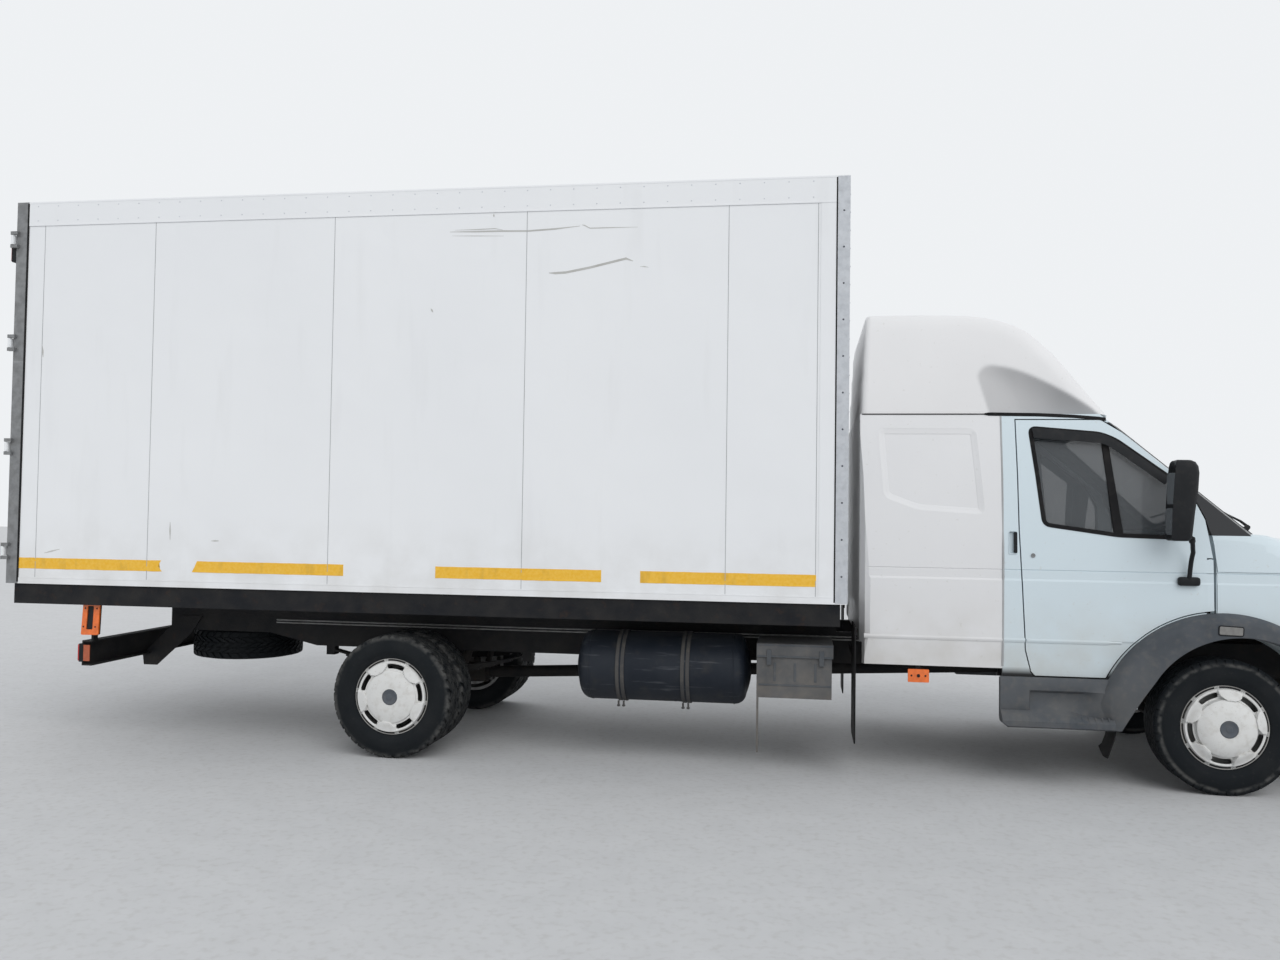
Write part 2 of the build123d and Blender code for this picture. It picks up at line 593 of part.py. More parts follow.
def insulated_box():
    """Floor, walls, roof and rear frame of the box."""
    wall = side_wall()
    parts["box_wall_left"] = wall
    parts["box_wall_right"] = mirrored(wall)
    y = BOX_INSIDE - SEAT
    x0, x1 = CARGO_REAR + SEAT, BOX_FRONT - WALL
    roof_z = BOX_TOP_Z - WALL
    parts["box_front_wall"] = block(x1, BOX_FRONT, -y, y, BOX_UNDERSIDE_Z, BOX_TOP_Z)
    parts["box_floor"] = block(x0, x1 - SEAT, -y, y, BOX_UNDERSIDE_Z, CARGO_FLOOR_Z)
    parts["box_roof"] = block(x0, x1 - SEAT, -y, y, roof_z, BOX_TOP_Z)
    half = BOX_SIDE - REAR_POST_WIDTH
    header_z = BOX_TOP_Z - REAR_HEADER_HEIGHT
    frame = block(FRAME_REAR, CARGO_REAR - SEAT, -BOX_SIDE, BOX_SIDE, BOX_UNDERSIDE_Z, BOX_TOP_Z)
    frame -= block(FRAME_REAR - 1, CARGO_REAR, -half, half, CARGO_FLOOR_Z, header_z)
    lip_x = BOX_REAR + DOOR_LEAF + BOX_DOOR_GAP
    lips = block(lip_x, CARGO_REAR - SEAT, -half, half, CARGO_FLOOR_Z, header_z)
    lips -= block(lip_x - 1, CARGO_REAR, REAR_LIP - half, half - REAR_LIP, CARGO_FLOOR_Z + REAR_LIP, header_z - REAR_LIP)
    frame += lips
    pin_x, pin_y = BOX_REAR - PIN_BEHIND, BOX_SIDE + PIN_OUTBOARD
    for z in hinge_heights():
        for side in (1, -1):
            low, high = z - BARREL_HALF - LUG_GAP, z + BARREL_HALF + LUG_GAP
            for bottom in (low - LUG_HEIGHT, high):
                outer = side * (pin_y + BARREL_RADIUS)
                frame += block(pin_x - BARREL_RADIUS, FRAME_REAR + 22, side * BOX_SIDE, outer, bottom, bottom + LUG_HEIGHT)
            frame += rod((pin_x, side * pin_y, low), (pin_x, side * pin_y, high), PIN_RADIUS)
    parts["box_rear_frame"] = frame


def hinge_heights():
    """Heights of the hinges of a rear door of the box."""
    low = CARGO_FLOOR_Z + BOX_HINGE_INSET
    high = BOX_TOP_Z - REAR_HEADER_HEIGHT - BOX_HINGE_INSET
    return [low + index * (high - low) / (BOX_HINGES - 1) for index in range(BOX_HINGES)]


def box_door():
    """The left rear door with its straps, lock rods and handles."""
    hinge_y = BOX_SIDE - REAR_POST_WIDTH - BOX_DOOR_GAP
    z0 = CARGO_FLOOR_Z + BOX_DOOR_GAP
    z1 = BOX_TOP_Z - REAR_HEADER_HEIGHT - BOX_DOOR_GAP
    leaf = block(BOX_REAR, BOX_REAR + DOOR_LEAF, BOX_DOOR_GAP, hinge_y, z0, z1)
    pin_x, pin_y = BOX_REAR - PIN_BEHIND, BOX_SIDE + PIN_OUTBOARD
    for z in hinge_heights():
        low, high = z - BARREL_HALF, z + BARREL_HALF
        leaf += block(BOX_REAR - STRAP_THICKNESS, BOX_REAR, hinge_y - STRAP_LENGTH, pin_y, low, high)
        leaf += block(pin_x, BOX_REAR, pin_y - BARREL_RADIUS, pin_y, low, high)
        leaf += rod((pin_x, pin_y, low), (pin_x, pin_y, high), BARREL_RADIUS)
        leaf -= rod((pin_x, pin_y, low - 1), (pin_x, pin_y, high + 1), PIN_RADIUS + RUNNING)
    rod_x = BOX_REAR - LOCK_ROD_OFF - LOCK_ROD_RADIUS
    for y in (BOX_DOOR_GAP + 130, hinge_y - STRAP_LENGTH - 90):
        leaf += rod((rod_x, y, z0 + 10), (rod_x, y, z1 - 10), LOCK_ROD_RADIUS)
        for z in (z0 + 30, z0 + 700, z0 + 1400, z1 - 70):
            leaf += block(BOX_REAR - GEAR_PROUD, BOX_REAR, y - 28, y + 28, z, z + 40)
        leaf += block(rod_x - 8, rod_x + 8, y - 16, y + 260, z0 + 420, z0 + 446)
    return leaf


def rear_doors():
    """Both rear doors of the box."""
    door = box_door()
    parts["box_door_left"] = door
    parts["box_door_right"] = mirrored(door)


def screen_line():
    """The windscreen's foot, its direction upwards and its outward normal, in the middle plane."""
    foot = Vector(at(SCREEN_FOOT[0]), 0, SCREEN_FOOT[1])
    top = Vector(at(SCREEN_TOP[0]), 0, SCREEN_TOP[1])
    along = (top - foot).normalized()
    return foot, along, Vector(along.Z, 0, -along.X)


def screen_cylinder(inset=0):
    """The bowed surface that the windscreen lies on, as a big cylinder."""
    foot, along, normal = screen_line()
    depth = (SCREEN_RADIUS ** 2 - SCREEN_EDGE_Y ** 2) ** 0.5
    start = foot - normal * depth - along * 2500
    end = start + along * 5500
    return rod(tuple(start), tuple(end), SCREEN_RADIUS - inset)


LOW_CREASE_Z = 843
RIDGE_Z = 1195
CREASE = 4                  # depth of the creases along the cab's sides
SIDE_CREASES = [(CAB_HALF_WIDTH - CREASE, LOW_CREASE_Z), (CAB_HALF_WIDTH, LOW_CREASE_Z + 10),
                (CAB_HALF_WIDTH, RIDGE_Z - 8), (CAB_HALF_WIDTH - CREASE, RIDGE_Z + 4),
                (CAB_HALF_WIDTH - CREASE, BELT_Z - 4), (CAB_HALF_WIDTH - 2 * CREASE, BELT_Z),
                (CAB_HALF_WIDTH - CREASE, BELT_Z + 4)]
CAB_FRONT_VIEW = [(0, 500), (948, 500), (CAB_HALF_WIDTH, LOW_CREASE_Z), (CAB_HALF_WIDTH, BELT_Z), (972, 1480),
                  (942, 1800), (SEAM_HALF_WIDTH, SEAM_Z), (0, SEAM_Z)]
CREASED_FRONT_VIEW = CAB_FRONT_VIEW[:2] + SIDE_CREASES + CAB_FRONT_VIEW[4:]
CAB_PLAN = [(CAB_REAR_STATION, 0), (CAB_REAR_STATION, 900), (CAB_REAR_STATION + 30, 970),
            (CAB_REAR_STATION + 60, CAB_HALF_WIDTH), (-100, CAB_HALF_WIDTH), (300, 960), (300, 0)]
DOOR_ARC = FLARE_RADIUS + 12    # the door's lower front edge runs this far from the flare's centre
DOOR_OUTLINE = [(-1127, 2132), (-1118, 1482), (-1083, 787), (-1050, 662), (-1030, SILL_Z),
                (FLARE_STATION - (DOOR_ARC ** 2 - (SILL_Z - FLARE_Z) ** 2) ** 0.5, SILL_Z),
                (FLARE_STATION - DOOR_ARC * sin(radians(45)), FLARE_Z + DOOR_ARC * sin(radians(45)), "arc"),
                (-64, FLARE_Z + (DOOR_ARC ** 2 - (FLARE_STATION + 64) ** 2) ** 0.5),
                (-66, 1329), (-105, 1555), (-228, 1812), (-540, 2062), (-650, 2132)]
WINDOW_OUTLINE = [(-1046, 2083), (-979, 1518), (-572, 1462), (-190, 1452), (-196, 1640), (-271, 1783), (-572, 2014),
                  (-655, 2049)]
QUARTER_BAR = [(-650, 2070), (-622, 2052), (-552, 1440), (-590, 1440)]
BLANK_WINDOW = [(-1925, 2080), (-1893, 1665), (-1700, 1592), (-1312, 1568), (-1357, 2080)]


def cab_volume(inset=0):
    """The cab's outer form from the rear wall to the cowl, moved inwards by inset."""
    lip = COWL_STATION + 70
    side = [(CAB_REAR_STATION, 560), (COWL_STATION, 560), (COWL_STATION, COWL_Z - 90), (lip, COWL_Z - 90),
            (lip, SEAM_Z), (CAB_REAR_STATION, SEAM_Z)]
    volume = side_prism(side, -1200, 1200, inset)
    volume &= front_prism(CAB_FRONT_VIEW if inset else CREASED_FRONT_VIEW, -2200, 700, inset)
    volume &= plan_prism(CAB_PLAN, 400, 2400, inset)
    return volume & screen_cylinder(inset)


def cab_shell():
    """The cab's walls, hollow, open below and with no wall ahead of the doors."""
    inner = CAB_HALF_WIDTH - CAB_SIDE
    below = block(at(CAB_REAR_STATION) - 1, at(COWL_STATION), -inner, inner, 300, FLOOR_Z - CAB_FLOOR + SEAT)
    ahead = block(at(WING_REAR_STATION) - 3, at(COWL_STATION) + 200, -1200, 1200, 300, WING_TOP_Z)
    shell = cab_volume() - cab_volume(CAB_SIDE) - below - ahead
    cowl = block(at(FIREWALL_STATION), at(COWL_STATION) + 66, -inner, inner, COWL_UNDERSIDE_Z, WING_TOP_Z + 18)
    shell += cowl & cab_volume(2)
    for side in (1, -1):
        post_y = side * (CAB_HALF_WIDTH - NOSE_WALL - SEAT)
        post_z = FLARE_Z + DOOR_ARC
        shell += block(at(WING_REAR_STATION) - 3, at(0), post_y - side * 70, post_y, post_z, WING_TOP_Z + 10)
    return shell


def shifted_face(outline, margin):
    """A side-view face in the middle plane with its outline moved outwards by margin."""
    face = side_face(outline, 0)
    return offset(face, margin, kind=Kind.INTERSECTION) if margin else face


def side_tool(outline, margin, y0, y1):
    """A cutting prism on the truck's left from a side-view outline moved outwards by margin."""
    return extrude(Pos(0, y0, 0) * shifted_face(outline, margin), y1 - y0, dir=(0, 1, 0))


def cab_doors(shell):
    """Makes the doors and their glass, and gives back the shell with its doorways cut."""
    door = shell & side_tool(DOOR_OUTLINE, 0, DOOR_INNER_Y, 1100)
    window = side_tool(WINDOW_OUTLINE, 0, 600, 1100)
    glass = (cab_volume(20) - cab_volume(20 + GLASS)) & side_tool(WINDOW_OUTLINE, -SEAT, 600, 1100)
    doorway = side_tool(DOOR_OUTLINE, SWING, DOOR_INNER_Y - SWING, 1100)
    pin_x, pin_y = at(HINGE_STATION), CAB_HALF_WIDTH - HINGE_INSET
    reach = HINGE_HALF + 18
    sweep = rod((pin_x, pin_y, FLARE_Z + DOOR_ARC - 20), (pin_x, pin_y, WING_TOP_Z + 140), HINGE_SWEEP)
    opened = shell - doorway - mirrored(doorway) - sweep - mirrored(sweep)
    for z in HINGE_ZS:
        door -= block(pin_x - 20, pin_x + 60, pin_y - 60, pin_y + HINGE_BARREL + 4, z - reach - 6, z + reach + 6)
        door += rod((pin_x, pin_y, z - HINGE_HALF), (pin_x, pin_y, z + HINGE_HALF), HINGE_BARREL)
        door += block(pin_x - 40, pin_x, pin_y - 5, pin_y + 5, z - HINGE_HALF, z + HINGE_HALF)
        door -= rod((pin_x, pin_y, z - reach), (pin_x, pin_y, z + reach), HINGE_PIN + RUNNING)
        for side in (1, -1):
            y = side * pin_y
            opened += rod((pin_x, y, z - reach), (pin_x, y, z + reach), HINGE_PIN)
            for low in (z - reach, z + HINGE_HALF + LUG_GAP):
                front = at(WING_REAR_STATION) - 2
                inner = y - side * (HINGE_SWEEP + HINGE_ARM)
                opened += block(pin_x - 9, pin_x + 9, inner, y + side * 9, low, low + 16)
                opened += block(pin_x - 9, front, inner, y - side * HINGE_SWEEP, low, low + 16)
    bar = side_tool(QUARTER_BAR, 0, 600, 1100) & (cab_volume(14) - cab_volume(36))
    door = door - window + bar
    glass -= side_tool(QUARTER_BAR, SEAT, 600, 1100)
    parts["cab_door_left"] = door
    parts["cab_door_right"] = mirrored(door)
    parts["door_glass_left"] = glass
    parts["door_glass_right"] = mirrored(glass)
    return opened


def cab():
    """Sleeper, front part of the cab, windscreen, floor and roof fairing."""
    shell = cab_doors(cab_shell())
    rear = at(CAB_REAR_STATION) - 10
    split = at(SLEEPER_FRONT_STATION)
    sleeper = shell & block(rear, split, -1100, 1100, SLEEPER_SILL_Z, SEAM_Z + 10)
    recess = blank_window()
    parts["sleeper_shell"] = sleeper - recess - mirrored(recess)
    glass_tool, frame_tool = screen_tools()
    front = shell - block(rear, split + SEAT, -1100, 1100, 300, SEAM_Z + 10) - frame_tool
    recess = block(at(HANDLE_STATIONS[0]), at(HANDLE_STATIONS[1]), CAB_HALF_WIDTH - 32, CAB_HALF_WIDTH + 1, *HANDLE_Z)
    parts["cab_frame"] = front - wheel_arch(LINER_WALL + SEAT) - recess - mirrored(recess)
    parts["windscreen"] = (screen_cylinder(3) - screen_cylinder(3 + SCREEN_GLASS)) & glass_tool
    parts["cab_floor"] = cab_floor()
    parts["roof_fairing"] = roof_fairing()


def blank_window():
    """The shallow recess pressed into the sleeper's side where a window could be."""
    face = fillet(side_face(BLANK_WINDOW, 0).vertices(), 28)
    shape = extrude(Pos(0, 800, 0) * face, 400, dir=(0, 1, 0))
    return shape - cab_volume(10)


def screen_tools():
    """The windscreen's outline as prisms square to the glass, for the glass and for its frame."""
    foot, along, normal = screen_line()
    length = hypot(SCREEN_TOP[0] - SCREEN_FOOT[0], SCREEN_TOP[1] - SCREEN_FOOT[1])
    plane = Plane(origin=tuple(foot), x_dir=(0, 1, 0), z_dir=tuple(normal))
    flip = 1 if plane.y_dir.dot(along) > 0 else -1
    low, high = flip * 55, flip * (length - 62)
    tools = []
    for margin in (-SEAT, 0):
        outline = Polyline((-812, low), (812, low), (700, high), (-700, high), close=True)
        face = fillet(make_face(outline).vertices(), 70)
        face = offset(face, margin, kind=Kind.INTERSECTION) if margin else face
        tools.append(extrude(plane * face, 400, both=True))
    return tools


def cab_floor():
    """Floor pan, toe board and firewall in one sheet."""
    rear = CAB_REAR_STATION + CAB_SIDE + SEAT
    top = COWL_UNDERSIDE_Z - SEAT
    outline = [(rear, FLOOR_Z - CAB_FLOOR), (TOE_STATION, FLOOR_Z - CAB_FLOOR),
               (FIREWALL_STATION + 20, FIREWALL_STEP_Z - 15), (FIREWALL_STATION + CAB_FLOOR, top),
               (FIREWALL_STATION, top), (FIREWALL_STATION, FIREWALL_STEP_Z + 5), (TOE_STATION - 10, FLOOR_Z),
               (rear, FLOOR_Z)]
    front_reach = CAB_HALF_WIDTH - NOSE_WALL - 72
    floor = side_prism(outline, -CAB_HALF_WIDTH, CAB_HALF_WIDTH) & cab_volume(CAB_SIDE + SEAT)
    for side in (1, -1):
        floor -= block(at(-300), at(0), side * front_reach, side * 1000, 300, 1500)
    return floor


FAIRING_REAR = [(CAB_REAR_STATION + 4, SEAM_Z + SEAT), (CAB_REAR_STATION + 30, FAIRING_TOP_Z - 60),
                (CAB_REAR_STATION + 44, FAIRING_TOP_Z - 20), (CAB_REAR_STATION + 90, FAIRING_TOP_Z + 4),
                (-1500, FAIRING_TOP_Z + 60), (0, FAIRING_TOP_Z + 60), (0, SEAM_Z + SEAT)]
BROW_STATION = -3300        # upright axis that the fairing's bowed front is turned about
FAIRING_BROW = [(-2600, SEAM_Z - 100), (-2600, FAIRING_TOP_Z - 4), (-1640, FAIRING_TOP_Z + 3, "arc"),
                (-1160, FAIRING_TOP_Z - 8), (-954, 2710, "arc"), (-788, 2562), (-640, 2375, "arc"), (-478, SEAM_Z - 8),
                (-478, SEAM_Z - 100)]
BROW_SHARE = 0.4            # how far the brow moves back for each millimetre that it moves down, at a wall
FAIRING_FRONT = [(0, SEAM_Z), (876, SEAM_Z), (858, 2330), (806, 2640), (775, 2720), (725, 2768), (640, 2830), (0, 2830)]
SCOOP_MOUTH = [(-1345, 2110), (-1345, 2400), (-1327, 2455, "arc"), (-1270, 2484), (-540, 2110)]
SCOOP_FLOOR = [(-1300, 2110), (-1300, 2370), (-1288, 2410, "arc"), (-1250, 2432), (-640, 2110)]
SCOOP_YS = (880, 770)       # where the scoop's mouth and floor outlines are drawn
SCOOP_DEPTH = 30


def fairing_volume(inset=0):
    """The roof fairing's outer form, turned about an upright axis for its bow and cut to its sides."""
    brow = [(point[0] - BROW_SHARE * inset, point[1] - inset, *point[2:]) for point in FAIRING_BROW]
    volume = revolve(side_face(brow), Axis((at(BROW_STATION), 0, 0), (0, 0, 1)))
    volume &= side_prism(FAIRING_REAR, -1200, 1200, inset)
    return volume & front_prism(FAIRING_FRONT, -2200, 0, inset)


def scoop_tool(margin):
    """The space that narrows from the scoop's mouth to its floor, on the truck's left."""
    faces = []
    for outline, y in zip((SCOOP_MOUTH, SCOOP_FLOOR), SCOOP_YS):
        face = side_face(outline, y)
        faces.append(offset(face, margin, kind=Kind.INTERSECTION) if margin else face)
    return loft(faces, ruled=True)


def roof_fairing():
    """A hollow fairing, open below, with a scoop pressed into each side."""
    outer = fairing_volume()
    inner = fairing_volume(FAIRING_WALL)
    pocket = scoop_tool(0) & (outer - fairing_volume(SCOOP_DEPTH))
    backing = scoop_tool(FAIRING_WALL) & (outer - fairing_volume(SCOOP_DEPTH + FAIRING_WALL))
    outer = outer - pocket - mirrored(pocket)
    inner = inner - backing - mirrored(backing)
    inner += Pos(0, 0, -2 * FAIRING_WALL) * inner
    return outer - inner


NOSE_SIDE = [(WING_REAR_STATION, 600), (WING_REAR_STATION, COWL_Z + 2), (BONNET_REAR_STATION - 4, COWL_Z - 8),
             (640, 1380, "arc"), (880, 1225), (968, 1115, "arc"), (1005, 970), (1018, 600)]
NOSE_FRONT = [(0, 500), (948, 500), (CAB_HALF_WIDTH, LOW_CREASE_Z), (CAB_HALF_WIDTH, BELT_Z), (950, 1345), (890, 1410),
              (760, 1440), (400, 1466), (0, 1480)]
CREASED_NOSE_FRONT = NOSE_FRONT[:2] + SIDE_CREASES + NOSE_FRONT[4:]
NOSE_PLAN = [(WING_REAR_STATION - 200, 0), (WING_REAR_STATION - 200, CAB_HALF_WIDTH), (300, CAB_HALF_WIDTH - 1), (600, 966),
             (820, 905), (940, 790), (1000, 570), (1022, 280), (1026, 0)]
BONNET_PLAN = [(BONNET_REAR_STATION, 0), (BONNET_REAR_STATION, 792), (450, 792), (700, 715), (1100, 560), (1100, 0)]
LAMP_FRONT = [(500, 850), (490, 950), (640, 1035), (900, 1075), (960, 1010), (925, 880), (700, 812), (560, 815)]
GRILLE_HALF_WIDTH = 430
GRILLE_Z = (790, 1020)
GRILLE_BARS = 4
BUMPER_SIDE = [(540, 350), (540, BUMPER_TOP_Z), (1020, BUMPER_TOP_Z), (FRONT_OVERHANG, 690), (FRONT_OVERHANG, 450),
               (1000, 350)]
BUMPER_PLAN = [(400, 0), (400, 990), (700, 990), (880, 930), (990, 780), (1035, 540), (FRONT_OVERHANG, 250),
               (FRONT_OVERHANG + 2, 0)]


def post_inner():
    """Where a wheel arch liner meets the wing's inner face."""
    return CAB_HALF_WIDTH - NOSE_WALL + 5


def wheel_arch(margin=0):
    """The round space of the front wheel arches, right across the truck."""
    return rod((at(ARCH_STATION), -1200, ARCH_Z), (at(ARCH_STATION), 1200, ARCH_Z), ARCH_RADIUS + margin)


def nose_volume(inset=0):
    """The outer form of wings, bonnet and front panel, moved inwards by inset."""
    volume = side_prism(NOSE_SIDE, -1200, 1200, inset)
    volume &= front_prism(NOSE_FRONT if inset else CREASED_NOSE_FRONT, -400, 1200, inset)
    return volume & plan_prism(NOSE_PLAN, 400, 1700, inset)


def opened_back_and_down(inner, reach):
    """A cavity drawn out to the rear and downwards, so that the shell round it is open there."""
    low = Pos(0, 0, -reach) * inner
    return inner + low + Pos(-reach, 0, 0) * (inner + low)


def nose():
    """Bonnet, wings, grille, headlamps and bumper."""
    solid = nose_volume()
    solid -= block(at(WING_REAR_STATION) - 1, at(BONNET_REAR_STATION) - 4, -1200, 1200, WING_TOP_Z - SEAT, 1700)
    shell = solid - opened_back_and_down(nose_volume(NOSE_WALL), 3 * NOSE_WALL)
    arch = wheel_arch()
    shell -= arch
    side = CAB_HALF_WIDTH - CAB_SIDE + SEAT
    shell -= block(at(WING_REAR_STATION) - 1, at(BONNET_REAR_STATION), -side, side, COWL_UNDERSIDE_Z - SEAT, 1700)
    for way in (1, -1):
        post_y = way * (CAB_HALF_WIDTH - NOSE_WALL)
        shell -= block(at(WING_REAR_STATION) - 4, at(0) + SEAT, post_y - way * 71, post_y, FLARE_Z + DOOR_ARC - 1, 1700)
    shell -= block(at(WING_REAR_STATION) - 1, at(ARCH_STATION), -1200, 1200, 300, 800)
    shell -= block(at(0), at(FRONT_OVERHANG), -1200, 1200, 300, BUMPER_TOP_Z + SEAT)
    liner = rod((at(ARCH_STATION), LINER_INNER_Y, ARCH_Z), (at(ARCH_STATION), post_inner(), ARCH_Z), ARCH_RADIUS + LINER_WALL)
    liner &= block(at(-470), at(560), 0, 1200, 420, 1000)
    liner -= arch
    shell += liner
    shell += mirrored(liner)
    gap_tool = plan_prism(BONNET_PLAN, BONNET_FRONT_Z, 1700)
    bonnet_tool = plan_prism(BONNET_PLAN, BONNET_FRONT_Z, 1700, BONNET_GAP)
    bonnet_tool &= block(at(BONNET_REAR_STATION), at(1100), -1200, 1200, BONNET_FRONT_Z + BONNET_GAP, 1700)
    bonnet = shell & bonnet_tool
    shell -= gap_tool
    face = make_face(Polyline(*[(at(700), y, z) for y, z in LAMP_FRONT], close=True))
    lamp_tool = extrude(fillet(face.vertices(), 25), 500, dir=(1, 0, 0))
    lamp = (solid - nose_volume(NOSE_WALL - 4)) & extrude(fillet(offset(face, -SEAT, kind=Kind.INTERSECTION).vertices(), 25), 500, dir=(1, 0, 0))
    shell -= lamp_tool
    shell -= mirrored(lamp_tool)
    parts["headlamps"] = both(lamp)
    z0, z1 = GRILLE_Z
    grille_tool = block(at(800), at(1100), -GRILLE_HALF_WIDTH, GRILLE_HALF_WIDTH, z0, z1)
    shell -= grille_tool
    bars = block(at(800), at(1100), SEAT - GRILLE_HALF_WIDTH, GRILLE_HALF_WIDTH - SEAT, z0 + SEAT, z1 - SEAT)
    pitch = (z1 - z0 - 24) / GRILLE_BARS
    for index in range(GRILLE_BARS):
        low = z0 + 24 + index * pitch
        bars -= block(at(800), at(1100), 24 - GRILLE_HALF_WIDTH, GRILLE_HALF_WIDTH - 24, low, low + pitch - 22)
    parts["grille"] = (nose_volume(6) - nose_volume(28)) & bars
    hinge_x, hinge_z = at(BONNET_REAR_STATION) + 12, BONNET_HINGE_Z
    brackets = None
    for side in (1, -1):
        y = side * BONNET_HINGE_Y
        bonnet -= block(hinge_x - 40, hinge_x + 13, y - 40, y + 40, hinge_z - 40, hinge_z + 40)
        bonnet += rod((hinge_x, y - 18, hinge_z), (hinge_x, y + 18, hinge_z), 10)
        bonnet += block(hinge_x, hinge_x + 20, y - 18, y + 18, hinge_z - 10, hinge_z)
        bonnet -= rod((hinge_x, y - 50, hinge_z), (hinge_x, y + 50, hinge_z), HINGE_PIN + RUNNING)
        piece = rod((hinge_x, y - 36, hinge_z), (hinge_x, y + 36, hinge_z), HINGE_PIN)
        for low in (y - 36, y + 20):
            piece += block(at(COWL_STATION) + 60, hinge_x + 6, low, low + 16, hinge_z - 9, hinge_z + 6)
        brackets = piece if brackets is None else brackets + piece
    parts["cab_frame"] += brackets
    parts["bonnet"] = bonnet
    parts["front_wings"] = shell
    bumper = bumper_volume() - opened_back_and_down(bumper_volume(BUMPER_WALL), 2 * BUMPER_WALL)
    bumper -= arch
    bumper -= block(at(400), at(960), -700, 700, 690, 800)
    bumper -= block(at(900), at(1100), -330, 330, 430, 530)
    parts["front_bumper"] = bumper


def bumper_volume(inset=0):
    """The front bumper's outer form, moved inwards by inset."""
    volume = side_prism(BUMPER_SIDE, -1200, 1200, inset)
    return volume & plan_prism(BUMPER_PLAN, 300, 900, inset)


def arch_trims():
    """Wheel arch flare, sill skirt and step in one moulding on each side."""
    skin = CAB_HALF_WIDTH + SEAT
    flare = Plane(origin=(at(FLARE_STATION), skin, FLARE_Z), z_dir=(0, 1, 0)) * turned(
        [(0, 0), (FLARE_RADIUS, 0), (FLARE_RADIUS - 4, 26), (FLARE_RADIUS - FLARE_SLOPE, FLARE_HALF_WIDTH - skin),
         (0, FLARE_HALF_WIDTH - skin)])
    flare -= rod((at(ARCH_STATION), skin - 1, ARCH_Z), (at(ARCH_STATION), FLARE_HALF_WIDTH + 1, ARCH_Z), ARCH_RADIUS)
    flare -= block(at(-900), at(ARCH_STATION), 900, 1200, -400, 590)
    flare -= block(at(ARCH_STATION) - 1, at(900), 900, 1200, -400, BUMPER_TOP_Z)
    skirt = side_tool([(-1222, 632), (-1199, 355), (-606, 345), (-470, 590), (-560, 632)], 0, skin, 1005)
    tread = block(at(-1199), at(-606), 820, 1085, 355, 400)
    skirt -= rod((at(ARCH_STATION), 800, ARCH_Z), (at(ARCH_STATION), 1200, ARCH_Z), ARCH_RADIUS)
    trim = flare + skirt + tread
    parts["arch_trims"] = both(trim)


def power_unit():
    """Engine with gearbox and radiator as plain blocks, and the exhaust."""
    rail_inner = RAIL_SIDE - RAIL_FLANGE - 8
    engine = block(at(-60), at(700), -270, 270, 500, 1180)
    gearbox = block(at(GEARBOX_REAR_STATION) + 60, at(-60), -150, 150, 470, 690)
    output = Vector(at(GEARBOX_REAR_STATION), 0, GEARBOX_Z)
    gearbox += rod(tuple(output), tuple(output + shaft_way() * 150), 75)
    mounts = block(at(250), at(330), -rail_inner, rail_inner, 560, 640)
    mounts += block(at(250), at(330), -RAIL_SIDE + RAIL_WALL + SEAT, RAIL_SIDE - RAIL_WALL - SEAT, 620, 680)
    radiator = block(at(760), at(810), -340, 340, 560, 1080)
    hose = block(at(690), at(770), -60, 60, 640, 720)
    parts["engine_block"] = engine + gearbox + mounts + radiator + hose
    y = 620
    muffler = rod((at(-2950), y, 600), (at(-2200), y, 600), 110)
    tail = rod((at(-2940), y, 600), (at(-3500), 760, 560), 32)
    arm = block(at(-2820), at(-2780), RAIL_SIDE + SEAT, y, 680, 720)
    arm += block(at(-2370), at(-2330), RAIL_SIDE + SEAT, y, 680, 720)
    parts["exhaust"] = muffler + tail + arm


def side_tanks():
    """Gas tank with its bands, battery box and the sheets ahead of it, on the truck's right."""
    x0, x1 = at(TANK_STATIONS[0]), at(TANK_STATIONS[1])
    r, dome = TANK_RADIUS, TANK_DOME
    inner = -(RAIL_SIDE + SEAT)
    length = x1 - x0
    reach = 0.7 * r
    crown = [(a, TANK_CROWN - (TANK_CROWN ** 2 - a ** 2) ** 0.5) for a in (0, reach / 2, reach)]
    crown += [(0.91 * r, 0.5 * dome), (r, dome)]
    low = [(a, 0, h) for a, h in crown]
    high = [(a, 0, length - h) for a, h in reversed(crown)]
    edges = [ThreePointArc(*low[0:3]), ThreePointArc(*low[2:5]), Line(low[4], high[0]),
             ThreePointArc(*high[0:3]), ThreePointArc(*high[2:5]), Line(high[4], low[0])]
    tank = revolve(make_face(edges), Axis.Z)
    tank = Plane(origin=(x0, TANK_Y, TANK_Z), z_dir=(1, 0, 0)) * tank
    for station in TANK_BANDS:
        x = at(station)
        tank += rod((x - 22, TANK_Y, TANK_Z), (x + 22, TANK_Y, TANK_Z), r + 5)
        tank += block(x - 22, x + 22, TANK_Y, inner, TANK_Z + 90, TANK_Z + 150)
    parts["gas_tank"] = tank
    x0, x1 = at(BATTERY_STATIONS[0]), at(BATTERY_STATIONS[1])
    box = block(x0 + 8, x1 - 8, -1000, -590, 458, 700)
    box += block(x0, x1, -1010, -580, 700, 781)
    box += block(x0 + 60, x0 + 110, -590, inner, 600, 660)
    box += block(x1 - 110, x1 - 60, -590, inner, 600, 660)
    box += block(x0, x0 + 12, -1000, -970, 131, 700)
    parts["battery_box"] = box
    x = at(-2030) - 26
    sheet = block(x - 8, x, 700, 1090, 220, 899)
    sheet += block(x - 8, x, RAIL_SIDE + SEAT, 720, 690, 730)
    flap = block(at(-656), at(-650), 860, 1040, 200, 345 - SEAT)
    parts["mudflaps"] = both(group(sheet, flap))


